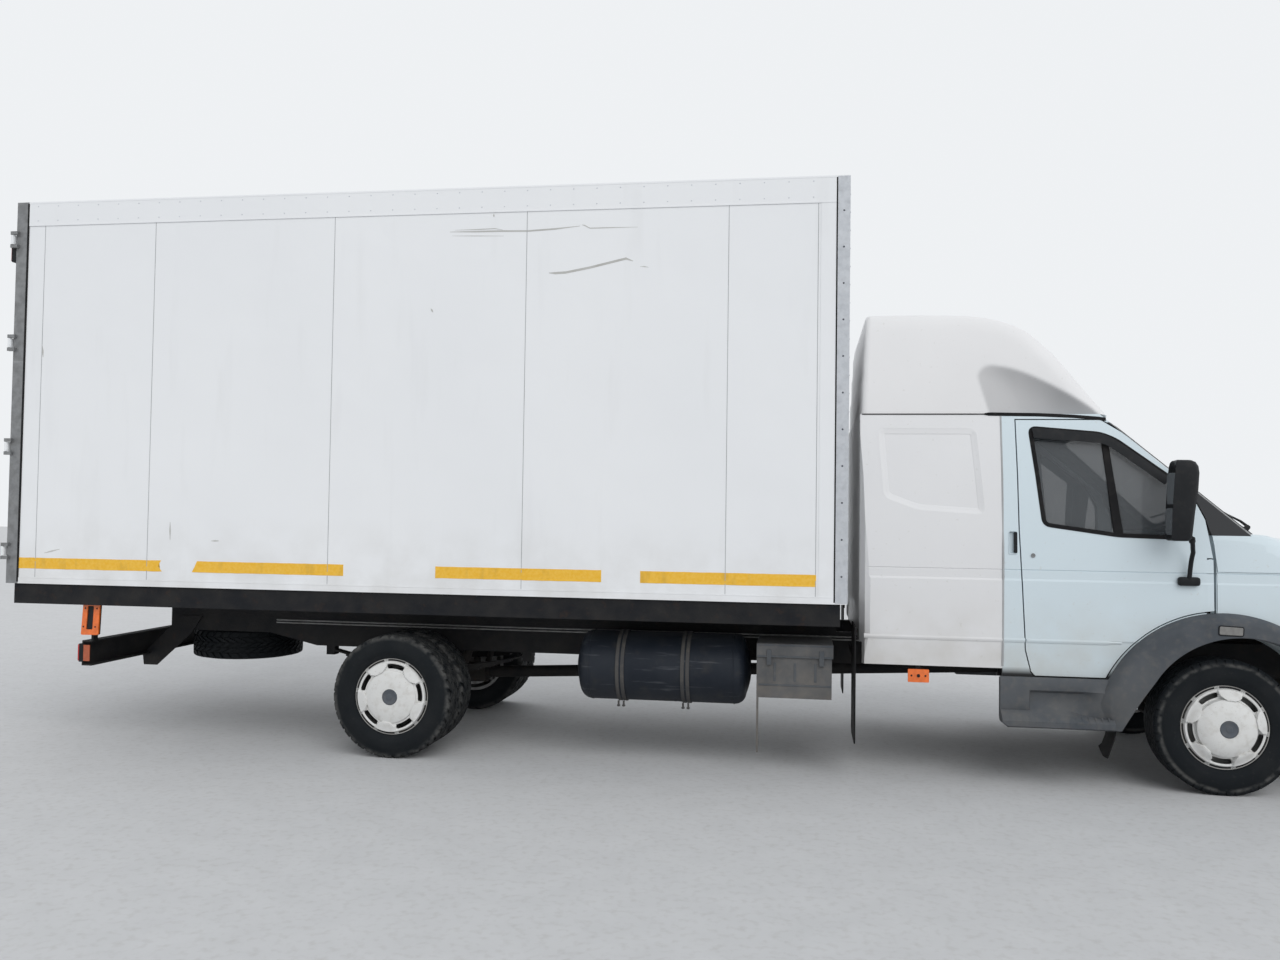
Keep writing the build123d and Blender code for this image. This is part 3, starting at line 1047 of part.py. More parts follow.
def tail():
    """Underrun bar on its brackets, rear lamps and the spare wheel."""
    outline = [(-6560, 780), (-6720, 780), (-7010, 500), (-7000, 425), (-6900, 425), (-6640, 660)]
    y0 = RAIL_SIDE + SEAT
    bracket = side_tool(outline, 0, y0, y0 + 10)
    bar = block(at(-7020), at(-6950), -BAR_HALF, BAR_HALF, 505, 668)
    bar -= block(at(-7012), at(-6900), -BAR_HALF - 1, BAR_HALF + 1, 515, 658)
    parts["underrun_bar"] = bar + bracket + mirrored(bracket)
    lamp = block(at(-7020) - SEAT - 30, at(-7020) - SEAT, BAR_HALF - 330, BAR_HALF, 530, 645)
    hanger = block(at(-6960), at(-6945), BAR_HALF - 100, BAR_HALF - 50, 668 + SEAT, BOX_UNDERSIDE_Z - 90 - 2 * SEAT)
    corner = block(at(-6995), at(-6880), BAR_HALF - 50, BAR_HALF + 20, 709, 890)
    top_lamp = block(BOX_REAR - GEAR_PROUD, FRAME_REAR - SEAT, BOX_SIDE - 60, BOX_SIDE - 6, 3156, 3263)
    marker = block(at(-1747), at(-1625), 925, 950, 574, 651)
    marker += block(at(-1690), at(-1680), 930, 945, 651, SLEEPER_SILL_Z - SEAT)
    parts["lamps"] = both(group(lamp, corner + hanger, top_lamp, marker))
    spare = turned_spare()
    parts["spare_wheel"] = Pos(at(SPARE_STATION), 0, SPARE_Z) * spare


def turned_spare():
    """The spare tyre on its rim as one piece, lying flat."""
    inside = BEAD_RADIUS - RIM_WALL
    disc = turned([(HUB_RADIUS, 20), (inside, 20), (inside, 20 + RIM_WALL), (HUB_RADIUS, 20 + RIM_WALL)])
    hub = turned([(0, 20), (HUB_RADIUS + 2, 20), (HUB_RADIUS + 2, TYRE_WIDTH / 2), (0, TYRE_WIDTH / 2)])
    return tyre() + rim_barrel() + disc + hub + turned(
        [(BEAD_RADIUS - 1, -60), (BEAD_RADIUS + 1, -60), (BEAD_RADIUS + 1, 60), (BEAD_RADIUS - 1, 60)])


def cabin():
    """Seats, bunk, dashboard and steering wheel."""
    seats = []
    for y0, y1 in ((-830, -20), (190, 690)):
        base = block(at(-1130), at(-640), y0, y1, FLOOR_Z + SEAT, 1130)
        base = fillet(base.edges().filter_by(Axis.Z), 50)
        back = side_prism([(-1180, 1080), (-1060, 1080), (-1130, 1680), (-1230, 1680)], y0, y1)
        back = fillet(back.edges().filter_by(Axis.Y), 30)
        rest = side_prism([(-1160, 1670), (-1140, 1670), (-1150, 1850), (-1240, 1850), (-1230, 1670)], (y0 + y1) / 2 - 120,
                          (y0 + y1) / 2 + 120)
        seats.append(base + back + rest)
    bunk = block(at(CAB_REAR_STATION) + CAB_SIDE + 60, at(-1290), -880, 880, FLOOR_Z + SEAT, 1150)
    parts["seats"] = group(*seats)
    parts["bunk"] = bunk
    front = FIREWALL_STATION - SEAT
    dash = side_prism([(-400, 1180), (-180, 1080), (front, 1080), (front, 1340), (-160, 1360), (-420, 1340), (-440, 1300)],
                      -870, 870)
    hump = side_prism([(-430, 1330), (-160, 1350), (-200, 1400), (-400, 1405)], 230, 650)
    centre = Vector(at(-560), 440, 1300)
    towards = Vector(-0.75, 0, 0.66).normalized()
    shroud = rod(tuple(centre - towards * COLUMN_REACH), tuple(centre - towards * 240), 42)
    parts["dashboard"] = dash + hump + shroud
    wheel_place = Plane(origin=tuple(centre), z_dir=tuple(towards))
    ring = wheel_place * Torus(195, 15)
    hub = wheel_place * (Pos(0, 0, -35) * extrude(Circle(50), 45))
    spokes = wheel_place * (Pos(0, 0, -18) * Box(36, 380, 14) + Pos(-95, 0, -18) * Box(190, 36, 14))
    column = rod(tuple(centre - towards * 30), tuple(centre - towards * (COLUMN_REACH - SEAT)), 28)
    parts["steering_wheel"] = ring + hub + spokes + column


def mirrors():
    """A tall mirror on a tubular arm on each door."""
    x0, x1 = at(-352), at(-211)
    shell = block(x0, x1, MIRROR_HALF_WIDTH - 165, MIRROR_HALF_WIDTH, 1436, 1886)
    shell = fillet(shell.edges().filter_by(Axis.Y), 40)
    shell = fillet(shell.faces().sort_by(Axis.X)[-1].edges(), 30)
    arm = rod((at(-235), MIRROR_HALF_WIDTH - 120, 1440), (at(-215), 1010, 1200), 13)
    foot = block(at(-240), at(-190), CAB_HALF_WIDTH + SEAT, CAB_HALF_WIDTH + 34, 1170, 1225)
    piece = shell + arm + foot
    parts["mirror_left"] = piece
    parts["mirror_right"] = mirrored(piece)


def main():
    """Writes every node to its own file."""
    wheels()
    steering()
    running_gear()
    frame_rails()
    box_subframe()
    insulated_box()
    rear_doors()
    cab()
    nose()
    arch_trims()
    power_unit()
    side_tanks()
    tail()
    cabin()
    mirrors()
    os.makedirs("parts", exist_ok=True)
    for name, shape in parts.items():
        export_step(shape, f"parts/{name}.step")


main()
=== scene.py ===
import json
import math
import random

import bmesh
import bpy
import numpy as np
from mathutils import Matrix, Vector


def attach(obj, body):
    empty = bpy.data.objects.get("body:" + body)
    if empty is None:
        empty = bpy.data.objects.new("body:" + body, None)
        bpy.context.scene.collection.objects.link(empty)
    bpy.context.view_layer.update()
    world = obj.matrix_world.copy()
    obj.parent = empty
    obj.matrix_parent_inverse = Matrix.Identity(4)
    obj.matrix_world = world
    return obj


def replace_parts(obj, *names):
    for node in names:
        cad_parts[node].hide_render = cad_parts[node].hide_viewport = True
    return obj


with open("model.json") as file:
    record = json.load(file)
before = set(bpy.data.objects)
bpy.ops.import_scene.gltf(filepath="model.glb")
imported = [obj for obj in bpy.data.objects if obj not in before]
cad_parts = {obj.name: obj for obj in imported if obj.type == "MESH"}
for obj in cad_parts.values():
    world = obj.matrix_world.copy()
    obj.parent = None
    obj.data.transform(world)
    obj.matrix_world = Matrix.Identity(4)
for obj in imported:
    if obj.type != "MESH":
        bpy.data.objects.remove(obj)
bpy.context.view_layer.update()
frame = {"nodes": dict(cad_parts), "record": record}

# Places shared with the part, in metres. A station is a length from the front axle, forwards positive.
FRONT_AXLE = 3.2675
WHEELBASE = 4.9
AXLE_Z = 0.3835
TYRE_RADIUS = 0.3835
TYRE_WIDTH = 0.215
FRONT_TRACK = 1.74
REAR_TRACK = 1.70
TWIN = 0.25
BOX_SIDE = 1.15
BOX_REAR = -7.54
BOX_FRONT = -2.11
BOX_LOW = 1.035
BOX_TOP = 3.55
COWL_Z = 1.466
RAIL_Y = 0.4335
TANK_Y = -0.760
TANK_Z = 0.590
SPARE = (-6.440, 0, 0.572)
SIDES = ((1, "left"), (-1, "right"))
ROOT = "chassis"
chance = random.Random(7)


def at(station):
    """The x of a length measured from the front axle."""
    return FRONT_AXLE + station


def skin_y(z):
    """Half width of the cab's side at a height."""
    table = ((0.5, 0.948), (0.843, 0.985), (1.25, 0.985), (1.48, 0.972), (1.80, 0.942), (2.168, 0.878))
    for (z0, y0), (z1, y1) in zip(table, table[1:]):
        if z <= z1:
            return y0 + (y1 - y0) * (z - z0) / (z1 - z0)
    return table[-1][1]


def smooth(value):
    """Eases a value from 0 to 1 in and out."""
    value = min(1.0, max(0.0, value))
    return value * value * (3 - 2 * value)


# Materials

MATERIALS = {}
DUST = (0.22, 0.19, 0.155)
CAB_COLOURS = ((0.60, 0.685, 0.725), (0.54, 0.63, 0.68))
EVEN = (1, 1, 1)


class Paint:
    """Builds one procedural material from stacked layers, in the row frame's coordinates."""

    def __init__(self, name, colour, rough, metal=0.0, coat=0.0, alpha=1.0):
        self.name = name
        self.material = bpy.data.materials.new(name)
        self.material.use_nodes = True
        self.tree = self.material.node_tree
        self.shader = self.tree.nodes["Principled BSDF"]
        self.feed(self.shader, {"Base Color": (*colour, 1), "Roughness": rough, "Metallic": metal,
                                "Coat Weight": coat, "Coat Roughness": 0.3, "Alpha": alpha, "IOR": 1.5})
        self.colour = colour
        self.rough = rough
        self.base = None
        self.roughness = None
        self.normal = None
        self.coords = self.node("ShaderNodeTexCoord").outputs["Object"]

    def feed(self, node, feeds):
        """Gives each input its value, or links another node's output to it."""
        for key, value in feeds.items():
            if isinstance(value, bpy.types.NodeSocket):
                self.tree.links.new(value, node.inputs[key])
            elif value is not None:
                node.inputs[key].default_value = value

    def node(self, kind, feeds=None, **settings):
        made = self.tree.nodes.new(kind)
        for key, value in settings.items():
            setattr(made, key, value)
        self.feed(made, feeds or {})
        return made

    def noise(self, scale, detail=4.0, stretch=EVEN, low=0.35, high=0.65):
        """A noise pattern from 0 to 1 with its middle range stretched."""
        mapping = self.node("ShaderNodeMapping", {"Vector": self.coords, "Scale": stretch})
        feeds = {"Vector": mapping.outputs[0], "Scale": scale, "Detail": detail}
        texture = self.node("ShaderNodeTexNoise", feeds)
        return self.ramp(texture.outputs["Fac"], low, high)

    def ramp(self, source, low, high, start=0.0, end=1.0):
        feeds = {"Value": source, "From Min": low, "From Max": high, "To Min": start, "To Max": end}
        return self.node("ShaderNodeMapRange", feeds).outputs[0]

    def math(self, operation, a, b=0.0):
        return self.node("ShaderNodeMath", {0: a, 1: b}, operation=operation).outputs[0]

    def both(self, a, b):
        """A mask that holds where both masks hold."""
        return self.math("MULTIPLY", a, b)

    def axis(self, letter):
        return self.node("ShaderNodeSeparateXYZ", {0: self.coords}).outputs[letter]

    def over(self, colour, mask, amount=1.0):
        """Lays a colour over what is there by a mask."""
        below = (*self.colour, 1) if self.base is None else self.base
        feeds = {"Factor": self.both(mask, amount), 6: below, 7: (*colour, 1)}
        self.base = self.node("ShaderNodeMix", feeds, data_type="RGBA").outputs[2]
        return self

    def layers(self, *rows):
        """Noise patterns over each other: a colour, its amount, then what noise takes."""
        for colour, amount, *pattern in rows:
            self.over(colour, self.noise(*pattern), amount)
        return self

    def rougher(self, mask, value):
        """Moves the roughness towards a value by a mask."""
        before = self.rough if self.roughness is None else self.roughness
        feeds = {"Factor": mask, 2: before, 3: value}
        self.roughness = self.node("ShaderNodeMix", feeds, data_type="FLOAT").outputs[0]
        return self

    def dust(self, colour, low, high, amount, scale):
        """Dirt that thins out from the height low up to the height high."""
        fade = self.ramp(self.axis("Z"), low, high, 1.0, 0.0)
        mask = self.both(fade, self.noise(scale, 6.0, low=0.3, high=0.7))
        return self.over(colour, mask, amount).rougher(mask, 0.9)

    def turned(self, vector, before, after):
        """A normal taken from one space to another."""
        spaces = {"vector_type": "NORMAL", "convert_from": before, "convert_to": after}
        return self.node("ShaderNodeVectorTransform", {0: vector}, **spaces).outputs[0]

    def tumblehome(self):
        """Shades the cab's flat-sided upper half as one curved side."""
        flat_normal = self.node("ShaderNodeNewGeometry").outputs["Normal"]
        split = self.node("ShaderNodeSeparateXYZ", {0: self.turned(flat_normal, "WORLD", "OBJECT")})
        z = self.axis("Z")
        foot, gain = 1.2, 4
        tilt = self.node("ShaderNodeValToRGB", {0: self.math("SUBTRACT", z, foot)})
        elements = tilt.color_ramp.elements
        stops = ((1.26, 0.03), (1.365, 0.056), (1.64, 0.095), (1.98, 0.170), (2.16, 0.235))
        while len(elements) < len(stops):
            elements.new(0.5)
        for element, (height, lean) in zip(elements, stops):
            element.position = height - foot
            element.color = (gain * lean, gain * lean, gain * lean, 1)
        up = self.math("MULTIPLY", tilt.outputs[0], 1 / gain)
        join = self.node("ShaderNodeCombineXYZ", {0: split.outputs["X"], 1: split.outputs["Y"], 2: up})
        curved = self.turned(join.outputs[0], "OBJECT", "WORLD")
        level = self.ramp(self.math("ABSOLUTE", split.outputs["Y"]), 0.975, 0.979)
        feeds = {"Factor": self.both(level, self.ramp(z, 1.258, 1.261)), 4: flat_normal, 5: curved}
        mix = self.node("ShaderNodeMix", feeds, data_type="VECTOR")
        self.normal = self.node("ShaderNodeVectorMath", {0: mix.outputs[1]}, operation="NORMALIZE").outputs[0]
        return self

    def bump(self, pattern, strength, distance):
        feeds = {"Strength": strength, "Distance": distance, "Height": pattern, "Normal": self.normal}
        self.normal = self.node("ShaderNodeBump", feeds).outputs["Normal"]
        return self

    def duller(self, level):
        """Lowers how strongly the surface mirrors what is round it."""
        self.feed(self.shader, {"Specular IOR Level": level})
        return self

    def done(self):
        """Joins the layers to the shader and keeps the material under its name."""
        self.feed(self.shader, {"Base Color": self.base, "Roughness": self.roughness, "Normal": self.normal})
        MATERIALS[self.name] = self.material


def box_skin():
    paint = Paint("box_skin", (0.80, 0.81, 0.82), 0.42, coat=0.15)
    paint.layers(((0.73, 0.745, 0.765), 0.35, 0.7, 3.0, (1, 1, 0.5)),
                 ((0.50, 0.50, 0.49), 0.10, 9, 5.0, (1, 1, 0.12), 0.58, 0.78))
    low = paint.both(paint.ramp(paint.axis("Z"), 1.03, 1.5, 1, 0), paint.noise(5, 6.0))
    paint.over((0.45, 0.43, 0.39), low, 0.30).bump(paint.noise(1.3, 2.0), 0.25, 0.02).done()


def cab_paint(name, colour, shade, curved=True):
    paint = Paint(name, colour, 0.30, coat=0.5)
    paint.layers((shade, 0.25, 1.6, 3.0), ((0.48, 0.47, 0.43), 0.25, 40, 3.0, EVEN, 0.68, 0.74))
    paint.dust((0.46, 0.43, 0.37), 0.62, 1.15, 0.55, 5.0)
    if curved:
        paint.tumblehome()
    return paint.bump(paint.noise(1.7, 2.0), 0.06, 0.01)


def fairing_paint():
    """White moulding that is greyer inside the scoops, where the mesh's shade attribute lays painted shade.
    """
    paint = cab_paint("fairing", (0.74, 0.735, 0.735), (0.66, 0.655, 0.655), False)
    # Painted shade: the shade attribute darkens the scoops towards their front.
    attribute = paint.node("ShaderNodeAttribute", attribute_name="shade")
    paint.over((0.20, 0.20, 0.207), attribute.outputs["Fac"]).done()


def cab_front():
    """The cab's paint, with its screen pillars and cowl in black moulding."""
    paint = cab_paint("cab_front", *CAB_COLOURS)
    ahead = paint.ramp(paint.axis("X"), at(-0.702), at(-0.700))
    above = paint.ramp(paint.axis("Z"), COWL_Z, COWL_Z + 0.001)
    below = paint.ramp(paint.axis("Z"), 2.118, 2.120, 1.0, 0.0)
    mask = paint.both(paint.both(ahead, above), below)
    paint.over((0.012, 0.013, 0.015), mask).rougher(mask, 0.5)
    # Inner faces below 0.9 m, inside the wheel arches and under the cab, are near black.
    inside = paint.ramp(paint.math("ABSOLUTE", paint.axis("Y")), 0.962, 0.966, 1.0, 0.0)
    under = paint.both(inside, paint.ramp(paint.axis("Z"), 0.90, 0.905, 1.0, 0.0))
    paint.over((0.020, 0.020, 0.021), under).rougher(under, 0.8).done()


def plain_plastic(name, colour, rough, fade=None, grain=260.0, strength=0.15, dirt=0.22):
    paint = Paint(name, colour, rough)
    if fade:
        paint.layers((fade, 0.6, 5, 5.0))
    paint.layers((DUST, dirt, 24, 6.0, EVEN, 0.5, 0.8))
    return paint.bump(paint.noise(grain, 2.0), strength, 0.0008)


def rusty_black(name, colour=(0.0095, 0.0105, 0.0130), rust=0.2):
    paint = Paint(name, colour, 0.6)
    paint.layers(((0.030, 0.028, 0.026), 0.55, 7, 6.0),
                 ((0.065, 0.032, 0.016), rust, 19, 6.0, EVEN, 0.60, 0.72))
    paint.dust((0.085, 0.076, 0.065), 0.1, 0.95, 0.35, 11.0)
    paint.bump(paint.noise(90, 4.0), 0.25, 0.002).duller(0.2).done()


def tank_paint():
    """Blue-black tank paint with long pale scuffs."""
    paint = Paint("tank_metal", (0.0085, 0.0120, 0.0190), 0.5)
    paint.layers(((0.020, 0.024, 0.031), 0.6, 5, 5.0),
                 ((0.10, 0.105, 0.115), 0.5, 16, 6.0, (0.25, 1, 3.0), 0.60, 0.74),
                 ((0.055, 0.050, 0.042), 0.4, 9, 5.0, EVEN, 0.55, 0.8))
    paint.bump(paint.noise(60, 4.0), 0.15, 0.001).duller(0.3).done()


def tyre_rubber(name, centre, band):
    """Black rubber with a worn, dusty band at the shoulder, measured from the wheel's centre."""
    paint = Paint(name, (0.0085, 0.0105, 0.0125), 0.62)
    paint.layers(((0.020, 0.021, 0.022), 0.5, 7, 6.0, EVEN, 0.40, 0.75))
    squares = []
    for letter, middle in zip("XZ", centre):
        away = paint.math("SUBTRACT", paint.axis(letter), middle)
        squares.append(paint.both(away, away))
    radius = paint.math("SQRT", paint.math("ADD", *squares))
    ring = paint.both(paint.ramp(radius, band[0], band[1]), paint.ramp(radius, band[2], band[3], 1.0, 0.0))
    paint.over((0.095, 0.094, 0.090), paint.both(ring, paint.noise(22, 6.0, low=0.36, high=0.62)), 0.70)
    paint.layers(((0.055, 0.052, 0.047), 0.22, 60, 5.0, EVEN, 0.60, 0.8))
    paint.bump(paint.noise(140, 3.0), 0.2, 0.001).duller(0.15).done()


def metal(name, colour, rough, grime, scale=14.0):
    paint = Paint(name, colour, rough, metal=0.85)
    paint.layers(((0.20, 0.19, 0.17), grime, scale, 6.0, EVEN, 0.45, 0.75))
    paint.rougher(paint.noise(30, 4.0), min(1.0, rough + 0.25))
    paint.bump(paint.noise(160, 2.0), 0.12, 0.0006).done()


def cover_white():
    paint = Paint("cover_plastic", (0.66, 0.66, 0.645), 0.38, coat=0.25)
    paint.layers(((0.40, 0.37, 0.32), 0.42, 26, 6.0, EVEN, 0.50, 0.78),
                 ((0.24, 0.22, 0.19), 0.5, 120, 3.0, EVEN, 0.66, 0.74)).done()


def tape_yellow():
    paint = Paint("tape_yellow", (0.80, 0.44, 0.025), 0.45)
    paint.layers(((0.86, 0.55, 0.10), 0.5, 60, 4.0),
                 ((0.42, 0.26, 0.05), 0.45, 14, 5.0, (1, 1, 0.4), 0.55, 0.75))
    paint.bump(paint.noise(35, 3.0), 0.3, 0.0015).done()


def lens(name, colour):
    paint = Paint(name, colour, 0.25, coat=0.6)
    paint.layers((tuple(0.55 * c for c in colour), 0.45, 35, 4.0))
    paint.bump(paint.noise(220, 1.0), 0.2, 0.001).done()


def window_glass(name, colour, alpha):
    paint = Paint(name, colour, 0.04, alpha=alpha)
    paint.rougher(paint.noise(4, 5.0, low=0.5, high=0.9), 0.14).done()


def woven(name, colour, light):
    paint = Paint(name, colour, 0.9)
    wave = paint.node("ShaderNodeTexWave", {"Scale": 90.0, "Vector": paint.coords}, bands_direction="Y")
    paint.layers((light, 0.5, 60, 3.0)).bump(wave.outputs["Fac"], 0.15, 0.0006)
    paint.bump(paint.noise(260, 2.0), 0.12, 0.0004)
    paint.feed(paint.shader, {"Sheen Weight": 0.3})
    paint.done()


def make_materials():
    """Every material of the truck and the floor."""
    box_skin()
    cab_paint("white_paint", *CAB_COLOURS).done()
    cab_paint("white_moulding", (0.71, 0.71, 0.715), (0.62, 0.62, 0.63)).done()
    fairing_paint()
    cab_front()
    rusty_black("black_chassis")
    rusty_black("cast_metal", (0.035, 0.032, 0.03), 0.7)
    tank_paint()
    cover_white()
    tape_yellow()
    grey = plain_plastic("grey_plastic", (0.058, 0.066, 0.076), 0.62, (0.095, 0.102, 0.112))
    grey.dust((0.17, 0.165, 0.155), 0.3, 1.0, 0.5, 7.0).duller(0.3).done()
    black = plain_plastic("black_plastic", (0.0105, 0.0115, 0.0130), 0.45, (0.018, 0.019, 0.021), dirt=0.05)
    black.duller(0.22).done()
    rubber = plain_plastic("rubber", (0.010, 0.010, 0.011), 0.7, (0.022, 0.021, 0.021), dirt=0.06)
    rubber.duller(0.15).done()
    strap = plain_plastic("strap", (0.050, 0.050, 0.052), 0.6, (0.090, 0.085, 0.078))
    strap.duller(0.3).done()
    battery = plain_plastic("battery_grey", (0.065, 0.068, 0.072), 0.6, (0.13, 0.13, 0.13))
    battery.dust(DUST, 0.4, 0.8, 0.5, 9.0).done()
    plain_plastic("rim_edge", (0.34, 0.335, 0.32), 0.5, (0.20, 0.19, 0.18)).done()
    plain_plastic("cap_grey", (0.075, 0.085, 0.10), 0.45).done()
    plain_plastic("joint_grey", (0.40, 0.41, 0.42), 0.8, (0.30, 0.305, 0.31)).done()
    plain_plastic("scuff", (0.54, 0.54, 0.52), 0.9, (0.40, 0.395, 0.38)).done()
    plain_plastic("floor", (0.56, 0.565, 0.57), 0.85, (0.52, 0.525, 0.53), 30.0, 0.05).done()
    metal("galvanised", (0.33, 0.335, 0.34), 0.55, 0.3)
    metal("aluminium", (0.66, 0.68, 0.71), 0.45, 0.12, 40.0)
    metal("wheel_steel", (0.34, 0.34, 0.335), 0.5, 0.5)
    tyre_rubber("tyre", (at(SPARE[0]), SPARE[2]), (0.50, 0.60, 0.70, 0.80))
    tyre_rubber("front_tyre", (at(0), AXLE_Z), (0.338, 0.350, 0.356, 0.368))
    tyre_rubber("rear_tyre", (at(-WHEELBASE), AXLE_Z), (0.346, 0.366, 0.380, 0.384))
    window_glass("glass", (0.10, 0.11, 0.118), 0.50)
    window_glass("lamp_glass", (0.75, 0.78, 0.80), 0.30)
    lens("repeater", (0.20, 0.195, 0.185))
    lens("lamp_plastic", (0.85, 0.17, 0.025))
    lens("red_lens", (0.50, 0.015, 0.012))
    lens("bar_lens", (0.42, 0.09, 0.03))
    woven("seat_fabric", (0.045, 0.05, 0.06), (0.10, 0.105, 0.115))
    Paint("mirror_face", (0.75, 0.78, 0.80), 0.03, metal=1.0).done()


# Mesh making

def loops(bm, rows, closed_path=False, caps=True):
    """Faces between closed rows of points with equal counts."""
    made = [[bm.verts.new(p) for p in row] for row in rows]
    count = len(made[0])
    pairs = list(zip(made, made[1:]))
    if closed_path:
        pairs.append((made[-1], made[0]))
    for a, b in pairs:
        for i in range(count):
            j = (i + 1) % count
            bm.faces.new((a[i], a[j], b[j], b[i]))
    if caps and not closed_path:
        bm.faces.new(list(reversed(made[0])))
        bm.faces.new(made[-1])


def heading(points, i):
    """The way from the point before to the point after."""
    return points[min(i + 1, len(points) - 1)] - points[max(i - 1, 0)]


class Shape:
    """A mesh built from (station, y, z) points. On side -1 every point and direction is mirrored in y."""

    def __init__(self, side=1):
        self.bm = bmesh.new()
        self.side = side

    def point(self, station, y, z):
        """Where a point of the truck lies in the scene."""
        return Vector((at(station), self.side * y, z))

    def way(self, x, y, z):
        """A direction, mirrored on side -1."""
        return Vector((x, self.side * y, z))

    def rows(self, rows, **how):
        loops(self.bm, [[self.point(*p) for p in row] for row in rows], **how)

    def block(self, low, high):
        """A box between two corners."""
        (x0, x1), (y0, y1), ends = (sorted(pair) for pair in zip(self.point(*low), self.point(*high)))
        loops(self.bm, [[(x0, y0, z), (x1, y0, z), (x1, y1, z), (x0, y1, z)] for z in ends])

    def tube(self, points, radius, count=12):
        """A round bar along points, with one radius or one for each point."""
        points = [self.point(*p) for p in points]
        radii = radius if isinstance(radius, list) else [radius] * len(points)
        side = heading(points, 0).normalized().orthogonal().normalized()
        rows = []
        for i, p in enumerate(points):
            way = heading(points, i).normalized()
            side = (side - way * side.dot(way)).normalized()
            up = way.cross(side)
            turns = [2 * math.pi * k / count for k in range(count)]
            rows.append([p + side * (radii[i] * math.cos(a)) + up * (radii[i] * math.sin(a)) for a in turns])
        loops(self.bm, rows)

    def lathe(self, profile, centre, axis, count):
        """A profile of (radius, height) pairs turned about an axis through centre."""
        centre = self.point(*centre)
        axis = self.way(*axis).normalized()
        right = axis.orthogonal().normalized()
        up = axis.cross(right)
        rows = []
        for i in range(count):
            a = 2 * math.pi * i / count
            out = right * math.cos(a) + up * math.sin(a)
            rows.append([centre + out * r + axis * h for r, h in profile])
        loops(self.bm, rows, closed_path=True)

    def prism(self, outline, push):
        """A flat outline of points pushed along a direction."""
        first = [self.point(*p) for p in outline]
        push = self.way(*push)
        loops(self.bm, [first, [p + push for p in first]])

    def ribbon(self, inner, outer, lift, drop, place):
        """A raised band between two flat outlines. place(u, v, height) gives a (station, y, z) point."""
        self.rows([[place(*a, -drop), place(*a, lift), place(*b, lift), place(*b, -drop)]
                   for a, b in zip(inner, outer)], closed_path=True)

    def stack(self, outline, heights, place):
        """A flat outline at one height after another."""
        self.rows([[place(*p, height) for p in outline] for height in heights])

    def finish(self, name, material, body=ROOT, slot=None, bevel=0.0, angle=40):
        """Makes an object of the mesh, gives it its finish and lets it ride."""
        bmesh.ops.remove_doubles(self.bm, verts=self.bm.verts, dist=1e-6)
        bmesh.ops.recalc_face_normals(self.bm, faces=self.bm.faces)
        mesh = bpy.data.meshes.new(name)
        self.bm.to_mesh(mesh)
        self.bm.free()
        made = bpy.data.objects.new(name, mesh)
        bpy.context.scene.collection.objects.link(made)
        mesh.materials.append(MATERIALS[material])
        mesh.shade_smooth()
        mesh.set_sharp_from_angle(angle=math.radians(angle))
        if bevel:
            modifier = made.modifiers.new("bevel", "BEVEL")
            modifier.width = bevel
            modifier.segments = 2
            modifier.limit_method = "ANGLE"
            modifier.angle_limit = math.radians(angle)
            modifier.harden_normals = True
        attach(made, body)
        slot or material
        return made


def rounded(points, radius, steps=4):
    """A closed 2-D outline with its corners rounded."""
    result = []
    count = len(points)
    for i in range(count):
        before, here, after = (Vector(points[(i + k) % count]) for k in (-1, 0, 1))
        a, b = before - here, after - here
        reach = min(radius, 0.45 * a.length, 0.45 * b.length)
        start, end = here + a.normalized() * reach, here + b.normalized() * reach
        for k in range(steps + 1):
            t = k / steps
            result.append(start * (1 - t) ** 2 + here * (2 * t * (1 - t)) + end * t ** 2)
    return result


def corners(x0, y0, x1, y1):
    return [Vector((x0, y0)), Vector((x1, y0)), Vector((x1, y1)), Vector((x0, y1))]


def panel(x0, y0, x1, y1, radius, steps=4):
    """A rounded rectangle between two corners."""
    return rounded(corners(x0, y0, x1, y1), radius, steps)


def grown(points, margin):
    """A closed 2-D outline moved outwards by margin."""
    area = sum(a[0] * b[1] - b[0] * a[1] for a, b in zip(points, points[1:] + points[:1]))
    turn = 1 if area > 0 else -1
    result = []
    count = len(points)
    for i in range(count):
        before, here, after = (Vector(points[(i + k) % count]) for k in (-1, 0, 1))
        normals = []
        for a, b in ((before, here), (here, after)):
            d = b - a
            if d.length > 1e-7:
                normals.append(Vector((d.y, -d.x)).normalized() * turn)
        mean = sum(normals, Vector((0, 0)))
        mean = mean.normalized() if mean.length > 1e-6 else normals[0]
        share = max(0.35, mean.dot(normals[0]))
        result.append(here + mean * (margin / share))
    return result


def dense(points, step=0.05):
    """A closed outline with its long edges divided."""
    result = []
    for a, b in zip(points, points[1:] + points[:1]):
        count = max(1, int((b - a).length / step))
        result += [a.lerp(b, k / count) for k in range(count)]
    return result


def spline(points, count):
    """Points along a smooth curve through 2-D points."""
    p = [Vector(q) for q in points]
    p = [2 * p[0] - p[1]] + p + [2 * p[-1] - p[-2]]
    result = []
    for a, b, c, d in zip(p, p[1:], p[2:], p[3:]):
        for k in range(count):
            t = k / count
            result.append(0.5 * (2 * b + (c - a) * t + (2 * a - 5 * b + 4 * c - d) * t ** 2
                                 + (3 * b - a - 3 * c + d) * t ** 3))
    return result + [p[-2]]


def on_cab(station, z, height):
    """A point off the cab's side."""
    return station, skin_y(z) + height, z


def on_plane(y):
    """Gives the placing of (station, z) pairs on an upright plane along the truck."""
    return lambda station, z, height: (station, y + height, z)


# Wheels

